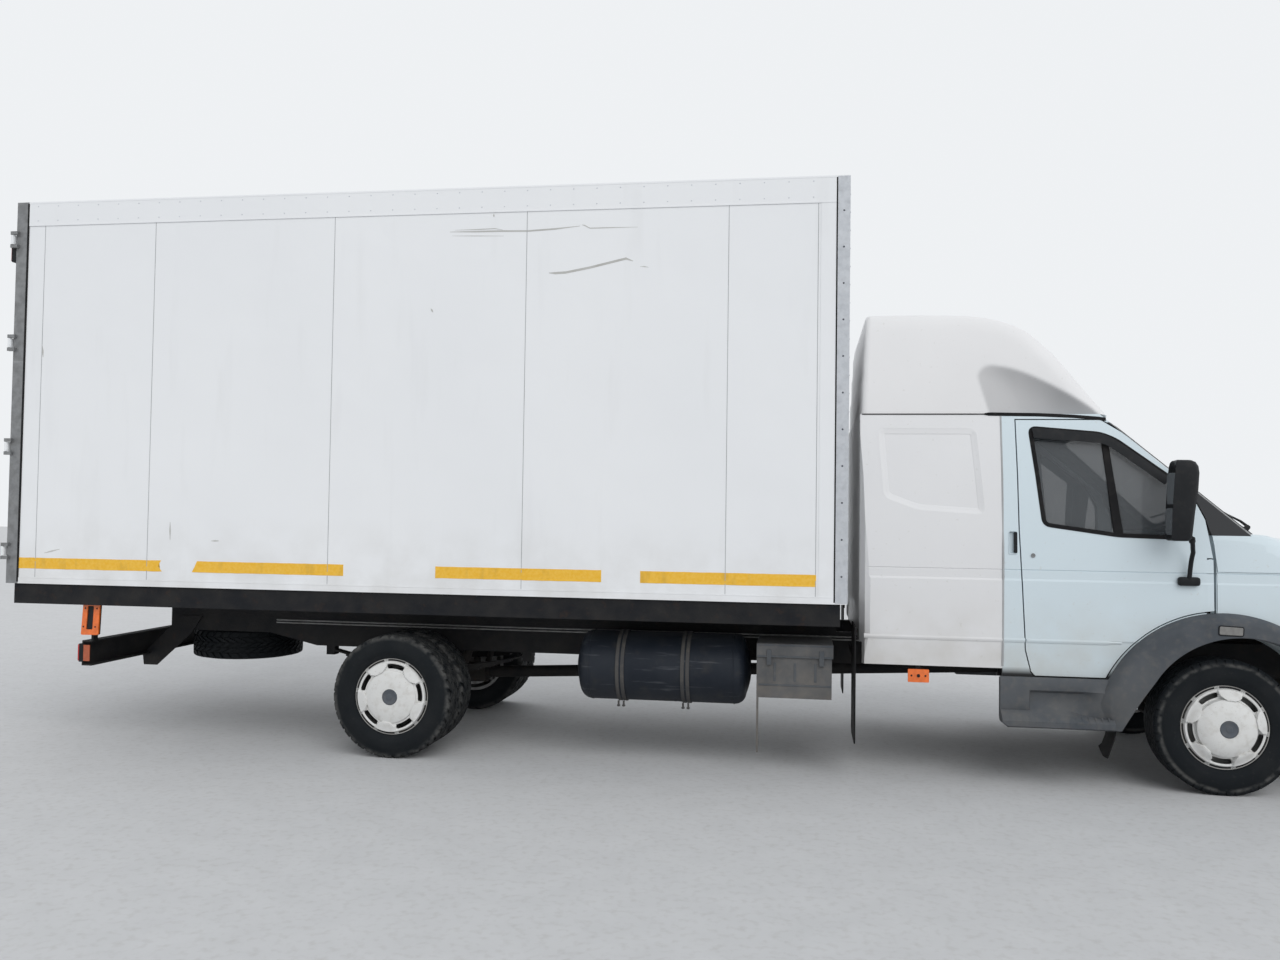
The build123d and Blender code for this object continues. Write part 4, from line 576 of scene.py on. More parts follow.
GROOVE = 0.011
ROAD = {"count": 52, "fill": 0.90, "reach": 0.024,
        "rows": ((-0.013, 0.013, 3.0, 0.0), (0.019, 0.044, 3.0, 0.35), (0.050, 0.083, -2.0, 0.1),
                 (0.088, 0.0935, 0.0, 0.6))}
KNOBBLY = {"count": 38, "fill": 0.62, "reach": 0.038,
           "rows": ((-0.014, 0.014, 5.0, 0.0), (0.021, 0.052, -5.0, 0.45), (0.058, 0.0935, 2.0, 0.1))}
CAP = 0.050
DOME = 0.1665
COVER_RINGS = ([0.030, CAP - 0.001] + [CAP + 0.012 * k for k in range(8)]
               + [0.143 + 0.0035 * k for k in range(4)] + [0.156 + 0.0018 * k for k in range(31)]
               + [0.2115, 0.2135, 0.2155, 0.2175, 0.2190, 0.2202, 0.2210, 0.2215])


def tyre_wall(half, radius):
    """Face of one side of a tyre, from the bead to the floor of the tread, as (radius, height)."""
    return [(0.2355, half - 0.0345), (0.2365, half - 0.022), (0.246, half - 0.012), (0.252, half - 0.011),
            (0.262, half - 0.005), (0.272, half - 0.0035), (0.275, half - 0.0015), (0.290, half),
            (0.312, half), (0.330, half - 0.0015), (0.334, half - 0.0035), (0.350, half - 0.006),
            (radius - 0.022, half - 0.010), (radius - 0.014, half - 0.014), (radius - GROOVE, half - 0.024)]


def add_tread_block(bm, place, path, a0, a1, skew):
    """One tread block: a patch of the tyre's crown along path between two angles."""
    middle = 0.5 * (path[0][1] + path[-1][1])
    rows = []
    for r, h in path:
        shift = skew * (h - middle)
        edges = ((a0, r - GROOVE), (a0, r), (a1, r), (a1, r - GROOVE))
        rows.append([place(angle + shift, radius, h) for angle, radius in edges])
    loops(bm, rows)


def add_tyre(shape, middle, direction, knobs):
    """A tyre with side walls and tread blocks, about a direction through its middle."""
    half, radius = TYRE_WIDTH / 2, TYRE_RADIUS
    wall = tyre_wall(half, radius)
    bore = [(0.2224, -half + 0.039), (0.2224, half - 0.039)]
    shape.lathe(wall + [(r, -h) for r, h in reversed(wall)] + bore, middle, direction, 96)
    centre, axis = shape.point(*middle), shape.way(*direction)
    right = axis.orthogonal().normalized()
    up = axis.cross(right)

    def place(angle, r, h):
        return centre + (right * math.cos(angle) + up * math.sin(angle)) * r + axis * h

    pitch = 2 * math.pi / knobs["count"]
    for row, (h0, h1, skew, phase) in enumerate(knobs["rows"]):
        for way in (1, -1):
            if way < 0 and abs(h0 + h1) < 1e-6:
                continue
            path = [(radius, way * h0), (radius, way * h1)]
            if h1 > half - 0.02:
                path = [(radius - 0.0005, way * h0), (radius - 0.001, way * (half - 0.024)),
                        (radius - 0.005, way * (half - 0.0145)), (radius - 0.014, way * (half - 0.0095)),
                        (radius - knobs["reach"], way * (half - 0.0065))]
            for k in range(knobs["count"]):
                start = (k + phase) * pitch + 0.04 * pitch * math.sin(k * 1.7 + row)
                add_tread_block(shape.bm, place, path, start, start + knobs["fill"] * pitch, way * skew)


def tyres():
    """The front tyres, the rear twins and the spare tyre under the tail."""
    across = (0, 1, 0)
    for side, word in SIDES:
        front = Shape(side)
        add_tyre(front, (0, FRONT_TRACK / 2, AXLE_Z), across, ROAD)
        made = front.finish(f"front_tread_{word}", "front_tyre", f"wheel_front_{word}", "tyre", angle=50)
        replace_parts(made, f"front_tyre_{word}")
        rear = Shape(side)
        for shift in (TWIN / 2, -TWIN / 2):
            add_tyre(rear, (-WHEELBASE, REAR_TRACK / 2 + shift, AXLE_Z), across, KNOBBLY)
        made = rear.finish(f"rear_treads_{word}", "rear_tyre", f"wheel_rear_{word}", "tyre", angle=50)
        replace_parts(made, f"rear_tyres_{word}")
    spare = Shape()
    add_tyre(spare, SPARE, (0, 0, 1), KNOBBLY)
    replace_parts(spare.finish("spare_tyre", "tyre", angle=50), "spare_wheel")


def spare_rim():
    """The spare wheel's rim, disc, carrier and bolts."""
    rim = Shape()
    upright = (0, 0, 1)
    rim.lathe([(0.213, -0.0825), (0.234, -0.0825), (0.234, -0.0745), (0.222, -0.0705), (0.222, 0.0705),
               (0.234, 0.0745), (0.234, 0.0825), (0.213, 0.0825)], SPARE, upright, 72)
    rim.lathe([(0.070, 0.020), (0.110, 0.020), (0.170, 0.004), (0.205, 0.020), (0.214, 0.022), (0.214, 0.031),
               (0.203, 0.030), (0.168, 0.014), (0.112, 0.029), (0.070, 0.029)], SPARE, upright, 72)
    rim.lathe([(0.0005, 0.022), (0.071, 0.022), (0.071, 0.106), (0.0005, 0.106)], SPARE, upright, 36)
    for k in range(6):
        a = 2 * math.pi * k / 6
        centre = (SPARE[0] + 0.092 * math.cos(a), 0.092 * math.sin(a), SPARE[2] + 0.008)
        rim.lathe([(0.0005, 0), (0.013, 0), (0.013, 0.014), (0.0005, 0.014)], centre, upright, 6)
    rim.finish("spare_rim", "wheel_steel")


def cover_height(dome, radius, angle):
    """How far a hub cover's face stands out of its rim at a radius and an angle from a slot's middle."""
    ring = 0.010 + 0.004 * math.sin(math.pi * min(1.0, max(0.0, (0.2205 - radius) / 0.018)))
    wall = smooth((DOME - radius) / 0.007)
    top = dome * (1 - 0.50 * (max(0.0, radius - CAP) / (DOME - CAP)) ** 2.6)
    between = ring + (top - ring) * wall
    away = abs(36 - abs(angle))
    reach = min(1.0, max(0.0, (radius - 0.1565) / 0.030))
    half = 6 + 14.0 * reach ** 0.55
    inside = smooth((half - away) / 2.6) * smooth((radius - 0.1565) / 0.003)
    slope = 0.017 + (0.56 * dome - 0.010) * smooth((0.221 - radius) / 0.062)
    lobe = max(between, slope) + 0.0035
    return (between + (lobe - between) * inside) * min(1.0, max(0.0, (0.2215 - radius) / 0.006)) ** 0.5


def in_slot(radius, angle):
    """Whether a place lies in one of a hub cover's open slots, which have rounded corners."""
    corner = 0.0022 * max(0.0, abs(angle) - 13.5) ** 0.5
    return 0.1735 + corner < radius < 0.2035 - corner and abs(angle) < 16


def add_cover(bm, centre, axis, first, dome):
    """A hub cover's face with five lobes and five open slots between them."""
    count, fifth = 360, 72
    grid = []
    for radius in COVER_RINGS:
        sunk = 0.004 if radius < CAP else 0.0
        row = []
        for k in range(count):
            turn = math.radians(first + k)
            out = Vector((math.cos(turn), 0, math.sin(turn)))
            height = cover_height(dome, radius, (k + fifth // 2) % fifth - fifth // 2) - sunk
            row.append(bm.verts.new(centre + out * radius + axis * height))
        grid.append(row)
    for i, (low, high) in enumerate(zip(COVER_RINGS, COVER_RINGS[1:])):
        for k in range(count):
            j = (k + 1) % count
            if not in_slot(0.5 * (low + high), (k + 0.5 + fifth / 2) % fifth - fifth / 2):
                bm.faces.new((grid[i][k], grid[i][j], grid[i + 1][j], grid[i + 1][k]))


def add_clips(bm, centre, axis, first):
    """The clips round a hub cover's edge, in ten groups of five."""
    for k in range(10):
        for j in range(-2, 3):
            a = math.radians(first + 18 + 36 * k + j * 1.4)
            out = Vector((math.cos(a), 0, math.sin(a)))
            across = Vector((-math.sin(a), 0, math.cos(a))) * 0.0011
            root = centre + out * 0.2185 + axis * 0.0035
            tip = centre + out * 0.2345 - axis * 0.0005
            foot = [root - across, root + across, tip + across, tip - across]
            loops(bm, [foot, [p + axis * 0.0035 for p in foot]])


def wheel_trim():
    """Hub covers with their caps, the clips and edges of the rims, and a black ring of painted shadow behind
    each cover's edge.
    """
    across = (0, 1, 0)
    for side, word in SIDES:
        for station, y, dome, end, first in ((0, FRONT_TRACK / 2, 0.068, "front", 47),
                                             (-WHEELBASE, REAR_TRACK / 2 + TWIN / 2, 0.036, "rear", 82)):
            body = f"wheel_{end}_{word}"
            middle = (station, y + 0.0828, AXLE_Z)
            cover = Shape(side)
            centre, axis = cover.point(*middle), cover.way(*across)
            add_cover(cover.bm, centre, axis, first, dome)
            made = cover.finish(f"cover_{body}", "cover_plastic", body, angle=35)
            if made.data.polygons[0].normal.dot(axis) < 0:
                made.data.flip_normals()
            modifier = made.modifiers.new("thickness", "SOLIDIFY")
            modifier.thickness = 0.0032
            modifier.offset = -1
            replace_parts(made, f"{end}_cover_{word}")
            clips = Shape(side)
            add_clips(clips.bm, centre, axis, first)
            clips.finish(f"clips_{body}", "cover_plastic", body)
            top = dome - 0.0015
            cap = [(0.0005, top - 0.008), (0.0488, top - 0.008), (0.0488, top - 0.001), (0.047, top + 0.0015),
                   (0.042, top + 0.002), (0.040, top + 0.0005), (0.018, top + 0.001), (0.016, top + 0.003),
                   (0.0005, top + 0.0035)]
            seat = [(0.2345, -0.0775), (0.2385, -0.0775), (0.2395, -0.0005), (0.2380, 0.0020),
                    (0.2325, 0.0020), (0.2305, 0.0005), (0.2305, -0.0035), (0.2345, -0.0045)]
            # rim_shadow is a black ring of painted shadow, for the dark gap between the cover's edge and the
            # rim.
            shadow = [(0.2050, -0.0035), (0.2322, -0.0035), (0.2322, 0.0012), (0.2050, 0.0012)]
            for name, profile, count, material, slot in (("cap", cap, 48, "cap_grey", "black_plastic"),
                                                         ("bead_seat", seat, 96, "rim_edge", "wheel_steel"),
                                                         ("rim_shadow", shadow, 96, "black_chassis", None)):
                part = Shape(side)
                part.lathe(profile, middle, across, count)
                part.finish(f"{name}_{body}", material, body, slot)


# The box

SKIN = BOX_SIDE - 0.004
JOINT_LINES = (-7.326, -6.533, -5.304, -4.057, -2.819, -2.293)
REAR_POST = -7.449
CORNER = -2.181
TAPES = ((-7.456, -6.431), (-6.209, -5.199), (-4.601, -3.563), (-3.326, -2.290))
TAPE_ENDS = {-6.431: (0.004, -0.010, -0.022, -0.014, -0.002), -6.209: (-0.010, 0.0, 0.008, 0.016, 0.024)}
STRAIGHT = (0.0, 0.0, 0.0, 0.0, 0.0)
MARKS = (
    (((-4.549, 3.277), (-4.389, 3.275), (-4.229, 3.274), (-4.051, 3.270), (-3.882, 3.278), (-3.726, 3.292)),
     0.010),
    (((-4.517, 3.287), (-4.389, 3.288), (-4.261, 3.290), (-4.210, 3.281)), 0.005),
    (((-4.536, 3.252), (-4.380, 3.248), (-4.203, 3.243)), 0.004),
    (((-3.714, 3.299), (-3.700, 3.296), (-3.664, 3.277), (-3.560, 3.277), (-3.369, 3.276)), 0.006),
    (((-3.915, 3.008), (-3.877, 3.006), (-3.809, 3.009), (-3.660, 3.036), (-3.537, 3.064), (-3.439, 3.086),
      (-3.396, 3.070)), 0.014),
    (((-3.353, 3.036), (-3.325, 3.034), (-3.300, 3.030)), 0.006),
    (((-4.663, 2.800), (-4.656, 2.790), (-4.649, 2.777)), 0.012),
    (((-4.269, 3.383), (-4.270, 3.372), (-4.268, 3.361)), 0.010),
    (((-7.326, 2.601), (-7.320, 2.560), (-7.316, 2.521)), 0.012),
    (((-7.264, 1.236), (-7.207, 1.250), (-7.150, 1.264)), 0.010),
    (((-6.378, 1.451), (-6.377, 1.395), (-6.375, 1.336)), 0.010),
    (((-6.092, 1.335), (-6.065, 1.336), (-6.037, 1.336)), 0.010),
)
ANGLE_RIVET = [(0.0002, -0.001), (0.0065, -0.001), (0.0055, 0.0012), (0.003, 0.0026), (0.0002, 0.003)]
FLANGE_RIVET = [(0.0002, -0.001), (0.0065, -0.001), (0.0055, 0.002), (0.003, 0.004), (0.0002, 0.0045)]
RAIL_RIVET = [(0.0002, -0.001), (0.0045, -0.001), (0.004, 0.001), (0.0002, 0.0022)]


def box_trim():
    """Joint lines, gaskets, rails, the corner angle and the rivets on the box's sides."""
    low, high = BOX_LOW + 0.0405, BOX_TOP - 0.1585
    foot, head = BOX_LOW + 0.01, BOX_TOP - 0.01
    flush = BOX_SIDE + 0.0012
    outward = (0, 1, 0)
    for side, word in SIDES:
        joints = Shape(side)
        for station in JOINT_LINES:
            joints.block((station - 0.0018, SKIN - 0.002, low), (station + 0.0018, SKIN + 0.0009, high))
        joints.block((REAR_POST - 0.004, SKIN, low), (REAR_POST + 0.004, BOX_SIDE + 0.0009, high))
        joints.block((-7.531, BOX_SIDE - 0.002, 2.4885), (-7.455, BOX_SIDE + 0.0008, 2.4915))
        joints.finish(f"box_joints_{word}", "joint_grey", slot="rubber")
        gaskets = Shape(side)
        gaskets.block((CORNER - 0.008, BOX_SIDE - 0.006, foot), (CORNER, BOX_SIDE + 0.0015, head))
        gaskets.block((REAR_POST - 0.008, SKIN, foot), (REAR_POST + 0.005, flush, head))
        gaskets.finish(f"box_gaskets_{word}", "rubber", bevel=0.0008)
        rails = Shape(side)
        for z0, z1 in ((BOX_TOP - 0.160, BOX_TOP - 0.150), (BOX_TOP - 0.012, BOX_TOP - 0.003),
                       (BOX_LOW + 0.036, BOX_LOW + 0.043)):
            rails.block((-7.44, BOX_SIDE - 0.003, z0), (-2.19, flush, z1))
        rails.finish(f"box_rails_{word}", "box_skin", bevel=0.001)
        angle = Shape(side)
        for start, y0, y1 in ((CORNER, BOX_SIDE - 0.002, flush),
                              (BOX_FRONT - 0.002, BOX_SIDE - 0.075, BOX_SIDE)):
            angle.block((start, y0, BOX_LOW + 0.004), (BOX_FRONT + 0.0012, y1, BOX_TOP - 0.004))
        angle.finish(f"corner_angle_{word}", "aluminium", slot="galvanised", bevel=0.001)
        heads = Shape(side)
        for k in range(11):
            heads.lathe(ANGLE_RIVET, (-2.145, BOX_SIDE + 0.001, 1.196 + 0.2145 * k), outward, 10)
        heads.finish(f"angle_rivets_{word}", "cap_grey", slot="galvanised")
        rivets = Shape(side)
        for k in range(23):
            centre = (BOX_FRONT + 0.001, BOX_SIDE - 0.030, 1.089 + 0.107 * k)
            rivets.lathe(FLANGE_RIVET, centre, (1, 0, 0), 10)
        for k in range(36):
            for z in (BOX_TOP - 0.03, BOX_TOP - 0.125):
                rivets.lathe(RAIL_RIVET, (-7.38 + k * 0.1445, BOX_SIDE, z), outward, 8)
        rivets.finish(f"rivets_{word}", "aluminium", slot="galvanised")


def tapes():
    """The reflective tapes along the box's sides, slightly uneven, with cut ends."""
    for side, word in SIDES:
        tape = Shape(side)
        for x0, x1 in TAPES:
            cols = max(6, int((x1 - x0) / 0.05))
            rows = []
            for i in range(cols + 1):
                cut = TAPE_ENDS.get({0: x0, cols: x1}.get(i), STRAIGHT)
                row = []
                for j in range(5):
                    z = 1.133 + 0.071 * j / 4 + chance.uniform(-0.0008, 0.0008)
                    lift = 0.0006 + (chance.random() ** 3) * 0.0014
                    row.append((x0 + (x1 - x0) * i / cols + cut[j], SKIN + lift, z))
                rows.append(row + [(x, SKIN - 0.0005, z) for x, y, z in reversed(row)])
            tape.rows(rows)
        tape.finish(f"tape_{word}", "tape_yellow", slot="lamp_plastic", angle=60)


def scuffs():
    """The scratches and scuffs seen on the right wall, as thin ribbons along their paths."""
    marks = Shape(-1)
    sunk = Vector((0, -0.0015, 0))
    for points, width in MARKS:
        line = [Vector((station, SKIN + 0.0007, z)) for station, z in points]
        rows = []
        for i, p in enumerate(line):
            way = heading(line, i).normalized()
            across = Vector((-way.z, 0, way.x)) * (width * (0.5 if 0 < i < len(line) - 1 else 0.12))
            rows.append([p + sunk - across, p - across, p + across, p + sunk + across])
        marks.rows(rows)
    marks.finish("box_scuffs", "scuff", slot="box_skin")


def plate(name, station, z, way):
    """A bare number plate in a thin frame, facing backwards or forwards."""
    outer = panel(-0.26, -0.056, 0.26, 0.056, 0.012)
    inner = [Vector((p.x * 0.975, p.y * 0.90)) for p in outer]
    rim = Shape()
    rim.ribbon(inner, outer, 0.006, 0.002, lambda u, v, h: (station + way * (0.003 + h), u, z + v))
    rim.finish(f"{name}_frame", "black_plastic", bevel=0.0012)
    face = Shape()
    face.prism([(station + way * 0.001, p.x * 0.985, z + p.y * 0.95) for p in outer], (way * 0.005, 0, 0))
    face.finish(name, "aluminium", slot="galvanised", bevel=0.0012)


def rear_gear():
    """Seals, bolts, rod grips and latches of the rear doors, the side markers' bolts and both plates."""
    hinge_y, z0, z1 = BOX_SIDE - 0.097, BOX_LOW + 0.097, BOX_TOP - 0.137
    backwards = (-1, 0, 0)
    strap_bolt = [(0.0002, 0), (0.009, 0), (0.009, 0.004), (0.007, 0.0065), (0.0002, 0.0065)]
    rod_nut = [(0.0002, 0), (0.0045, 0), (0.0035, 0.0025), (0.0002, 0.003)]
    for side, word in SIDES:
        body = f"box_door_{word}"
        seal = Shape(side)
        seal.ribbon(corners(0.014, z0 + 0.008, hinge_y - 0.008, z1 - 0.008), corners(0.0065, z0, hinge_y, z1),
                    0.003, 0.004, lambda u, v, h: (BOX_REAR - h, u, v))
        seal.finish(f"door_seal_{word}", "rubber", body)
        fixings = Shape(side)
        for k in range(4):
            z = z0 - 0.007 + 0.12 + k * (z1 - z0 + 0.014 - 0.24) / 3
            for j in range(4):
                fixings.lathe(strap_bolt, (BOX_REAR - 0.006, hinge_y - 0.30 + 0.085 * j, z), backwards, 6)
        x = BOX_REAR - 0.018
        for y in (0.137, hinge_y - 0.42):
            for z in (z0 + 0.05, z0 + 0.72, z0 + 1.42, z1 - 0.05):
                for dy, dz in ((-0.021, -0.013), (-0.021, 0.013), (0.021, -0.013), (0.021, 0.013)):
                    fixings.lathe(rod_nut, (BOX_REAR - 0.0420, y + dy, z + dz), backwards, 6)
            fixings.tube([(x, y + 0.22, z0 + 0.433), (x, y + 0.255, z0 + 0.433)], 0.0115, 14)
            for z in (z0 + 0.012, z1 - 0.012):
                fixings.block((x - 0.02, y - 0.022, z - 0.012), (BOX_REAR - 0.002, y + 0.022, z + 0.012))
        fixings.finish(f"door_fixings_{word}", "galvanised", body, bevel=0.0008)
        bolts = Shape(side)
        for station, radius, height, count in ((-1.686, 0.010, 0.004, 16), (-1.726, 0.006, 0.003, 6),
                                               (-1.646, 0.006, 0.003, 6)):
            profile = [(0.0003, 0.0), (radius, 0.0), (radius - 0.001, height), (0.0003, height + 0.001)]
            bolts.lathe(profile, (station, 0.9505, 0.613), (0, 1, 0), count)
        bolts.finish(f"marker_bolts_{word}", "black_plastic")
    plate("rear_plate", -7.012, 0.5865, -1)
    plate("front_plate", 1.0395, 0.600, 1)


# The cab

WINDOW = [(-1.046, 2.083), (-0.979, 1.518), (-0.572, 1.462), (-0.190, 1.452), (-0.196, 1.640),
          (-0.271, 1.783), (-0.572, 2.014), (-0.655, 2.049)]
BAR = [(-0.650, 2.068), (-0.622, 2.050), (-0.548, 1.452), (-0.590, 1.452)]
DEFLECTOR = [(-1.040, 2.084), (-0.90, 2.071), (-0.70, 2.053), (-0.640, 2.043), (-0.572, 2.010),
             (-0.42, 1.895), (-0.290, 1.793)]
ROOF_LINE = [(-2.02, 2.168), (-1.60, 2.168), (-1.31, 2.168), (-1.28, 2.167), (-1.00, 2.163), (-0.80, 2.154),
             (-0.66, 2.142), (-0.620, 2.136)]
RECESS = [(-1.925, 2.080), (-1.893, 1.665), (-1.700, 1.592), (-1.312, 1.568), (-1.357, 2.080)]
RECESS_STEPS = ((0.010, -0.0015), (0.006, 0.0004), (0.0, -0.0006), (-0.012, -0.0045), (-0.024, -0.0085),
                (-0.034, -0.0094), (-0.036, -0.0115))
RIDGE = ((-0.012, -0.001), (-0.002, 0.0022), (0.003, 0.0026), (0.014, -0.001), (0.0, -0.004))
BEAD = ((-1.218, -0.001), (-1.216, 0.003), (-1.210, 0.0035), (-1.206, -0.001), (-1.212, -0.004))


def window_trim():
    """Window rubbers and wind deflectors of the cab's doors."""
    for side, word in SIDES:
        door = f"cab_door_{word}"
        seal = Shape(side)
        middle_line = dense(rounded(WINDOW, 0.035, 5))
        seal.ribbon(grown(middle_line, -0.010), grown(middle_line, 0.014), 0.0028, 0.024, on_cab)
        seal.stack(rounded(grown(BAR, 0.004), 0.004, 1), (-0.020, -0.001), on_cab)
        seal.finish(f"window_rubber_{word}", "rubber", door, bevel=0.0012)
        deflector = Shape(side)
        top = spline(DEFLECTOR, 4)
        rows = []
        for i, corner in enumerate(top):
            way = heading(top, i)
            drop = Vector((way.y, -way.x)).normalized() * (0.058 - 0.008 * i / (len(top) - 1))
            if i == 0:
                drop = Vector((0.010, -0.058))
            a, b = corner + Vector((0.0, 0.004)), corner + drop
            middle = 0.5 * (a + b)
            rows.append([on_cab(*a, 0.003), on_cab(*middle, 0.016), on_cab(*b, 0.020), on_cab(*b, 0.017),
                         on_cab(*middle, 0.013), on_cab(*a, 0.0)])
        deflector.rows(rows)
        deflector.finish(f"deflector_{word}", "black_plastic", door, bevel=0.0006)


def door_hardware():
    """Locks and recessed handles of the cab, and the side repeaters on the flares."""
    for side, word in SIDES:
        lock = Shape(side)
        lock.lathe([(0.0003, 0.0), (0.013, 0.0), (0.012, 0.003), (0.004, 0.0035), (0.0003, 0.002)],
                   on_cab(-1.045, 1.335, 0.0), (0, 1, 0), 20)
        lock.finish(f"door_lock_{word}", "galvanised", f"cab_door_{word}")
        cup = Shape(side)
        recess = panel(-1.182, 1.340, -1.130, 1.477, 0.012)
        inner = [Vector((p.x * 0.90 - 0.1156, p.y * 0.93 + 0.0986)) for p in recess]
        cup.ribbon(inner, recess, 0.002, 0.026, on_cab)
        cup.stack(panel(-1.180, 1.342, -1.132, 1.475, 0.012), (-0.0255, -0.0235), on_cab)
        cup.finish(f"handle_cup_{word}", "white_paint", bevel=0.0012)
        handle = Shape(side)
        for z0, z1, heights in ((1.350, 1.467, (-0.012, 0.001)), (1.350, 1.364, (-0.030, -0.011)),
                                (1.453, 1.467, (-0.030, -0.011))):
            handle.stack(panel(-1.151, z0, -1.134, z1, 0.006), heights, on_cab)
        handle.finish(f"handle_{word}", "black_plastic", bevel=0.002)
        outline = rounded([(-0.072, 0.918), (0.050, 0.914), (0.053, 0.958), (-0.070, 0.964)], 0.008)
        lamp = Shape(side)
        lamp.stack(outline, (-0.003, 0.0060), on_plane(1.0755))
        lamp.finish(f"repeater_{word}", "repeater", slot="lamp_plastic", bevel=0.003)
        rim = Shape(side)
        rim.ribbon(outline, grown(outline, 0.006), 0.0035, 0.003, on_plane(1.0755))
        rim.finish(f"repeater_rim_{word}", "black_plastic")


def cab_lines():
    """Roof seals, the lip of the sleeper's blank window, the low ridges and the bead ahead of the sleeper."""
    for side, word in SIDES:
        seal = Shape(side)
        rows = []
        for station, z in ROOF_LINE:
            half = 0.012 if station > -1.3 else 0.004
            y = skin_y(z) + 0.001
            rows.append([(station, y - 0.006, z - half), (station, y + 0.003, z - half * 0.7),
                         (station, y + 0.003, z + half * 0.7), (station, y - 0.006, z + half)])
        seal.rows(rows)
        seal.finish(f"roof_seal_{word}", "rubber")
        lip = Shape(side)
        blank = dense(rounded(RECESS, 0.045, 6), 0.03)
        rows = [[on_cab(*p, height) for p in grown(blank, edge)] for edge, height in RECESS_STEPS]
        lip.rows(rows, caps=False)
        lip.finish(f"recess_lip_{word}", "white_moulding", angle=60)
        for u0, u1, part, material, body in ((-2.005, -1.214, "sleeper", "white_moulding", ROOT),
                                             (-1.079, -0.560, "door", "white_paint", f"cab_door_{word}"),
                                             (-1.208, -1.090, "post", "white_paint", ROOT)):
            ridge = Shape(side)
            rows = []
            for k in range(21):
                u = u0 + (u1 - u0) * k / 20
                share = 0.5 if u >= -0.62 else 1.0
                rows.append([on_cab(u, 0.843 + v * share, h) for v, h in RIDGE])
            ridge.rows(rows)
            ridge.finish(f"low_ridge_{part}_{word}", material, body, angle=60)
        bead = Shape(side)
        bead.rows([[on_cab(u, z, h) for u, h in BEAD]
                   for z in (0.69, 0.85, 1.0, 1.2, 1.262, 1.40, 1.60, 1.80, 2.0, 2.155)])
        bead.finish(f"front_bead_{word}", "joint_grey", slot="white_moulding")


ARCH_LINE = [(-0.440, 0.585), (-0.484, 0.515), (-0.530, 0.435), (-0.560, 0.380), (-0.574, 0.3535)]
FACE_LINE = [(-0.652, 0.600), (-0.690, 0.540), (-0.706, 0.470), (-0.700, 0.400), (-0.690, 0.3535)]
FLARE_SKIN = 0.984
FLARE_FACE = 1.0755


def arc(centre, radius, start, end, steps):
    """Points on a circle between two angles in degrees."""
    turns = [math.radians(start + (end - start) * k / steps) for k in range(steps + 1)]
    return [Vector((centre[0] + radius * math.cos(a), centre[1] + radius * math.sin(a))) for a in turns]


def add_flare(shape):
    """A wheel arch flare that runs down behind the wheel into the skirt."""
    inner = arc((0.060, 0.360), 0.5405, 45, 148, 48)
    outer = arc((-0.010, 0.345), 0.685, 35.5, 150.5, 48)
    tail_inner = spline([inner[-1]] + ARCH_LINE, 5)[1:]
    tail_outer = spline([outer[-1]] + FACE_LINE, 5)[1:]
    eased = [0.0] * len(inner) + [smooth((k + 1) / len(tail_inner)) for k in range(len(tail_inner))]
    rows = []
    for a, b, t in zip(inner + tail_inner, outer + tail_outer, eased):
        skin, foot, high = FLARE_SKIN + 0.012 * t, 1.014 - 0.010 * t, FLARE_FACE - 0.030 * t
        away = a - b
        width = away.length
        away.normalize()
        low = smooth(t)
        section = [(b, skin), (b + away * 0.003, foot),
                   (b + away * (0.022 + 0.02 * low), foot + (high - foot) * (0.66 - 0.3 * low)),
                   (b + away * (0.040 + 0.03 * low), high - 0.004 - 0.008 * low),
                   (b + away * min(0.054 + 0.03 * low, 0.8 * width), high), (a - away * 0.016, high + 0.0005),
                   (a - away * 0.004, high + 0.0010), (a, high - 0.002), (a + away * 0.002, high - 0.030),
                   (a + away * 0.004, FLARE_SKIN)]
        rows.append([(p.x, y, p.y) for p, y in section])
    shape.rows(rows)


def skirt_section(x):
    """The skirt and its step across at a station, as (y, z) pairs."""
    sunk = smooth((x + 1.073) / 0.012) * smooth((-0.640 - x) / 0.16)
    edge = 0.446 + 0.016 * smooth((x + 1.08) / 0.04) - 0.054 * smooth((x + 0.98) / 0.36)
    lip = smooth((x + 1.235) / 0.03)
    bulge = 0.020 * smooth((x + 0.80) / 0.14)
    face = 1.010 + bulge
    return [(FLARE_SKIN, 0.634), (0.996, 0.631), (1.006, 0.616), (1.010 + 0.4 * bulge, 0.580),
            (face - 0.003 * sunk, 0.562), (face - 0.026 * sunk, 0.546), (face - 0.034 * sunk, 0.505),
            (face - 0.026 * sunk, edge + 0.010), (face - 0.004 - 0.016 * sunk, edge),
            (1.040, 0.428 + 0.3 * (edge - 0.446)), (1.078, 0.4025), (1.085, 0.396),
            (1.084, 0.384 - 0.018 * lip), (1.072, 0.381 - 0.024 * lip), (0.985, 0.380 - 0.024 * lip),
            (0.962, 0.40), (0.962, 0.62)]


def skirts():
    """Flares with their skirts and steps, and ribs on the treads."""
    flares, ribs = Shape(), Shape()
    stations = [-1.231, -1.226, -1.20, -1.12, -1.08, -1.073, -1.070, -1.067, -1.064, -1.060, -1.04, -1.0]
    stations += [-1.0 + 0.025 * k for k in range(1, 16)] + [-0.618]
    tread = ((1.046, 0.4225), (1.076, 0.402), (1.0862, 0.394), (1.0857, 0.372))
    for side in (1, -1):
        flares.side = ribs.side = side
        add_flare(flares)
        flares.rows([[(x, y, z) for y, z in skirt_section(x)] for x in stations])
        for k in range(16):
            x = -1.19 + 0.036 * k
            ribs.rows([[(x, y, z), (x + 0.006, y, z), (x + 0.006, y, z + 0.003), (x, y, z + 0.003)]
                       for y, z in tread])
    made = flares.finish("flares_and_steps", "grey_plastic", slot="black_plastic", angle=38)
    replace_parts(made, "arch_trims")
    ribs.finish("step_ribs", "grey_plastic", slot="black_plastic", bevel=0.0006)


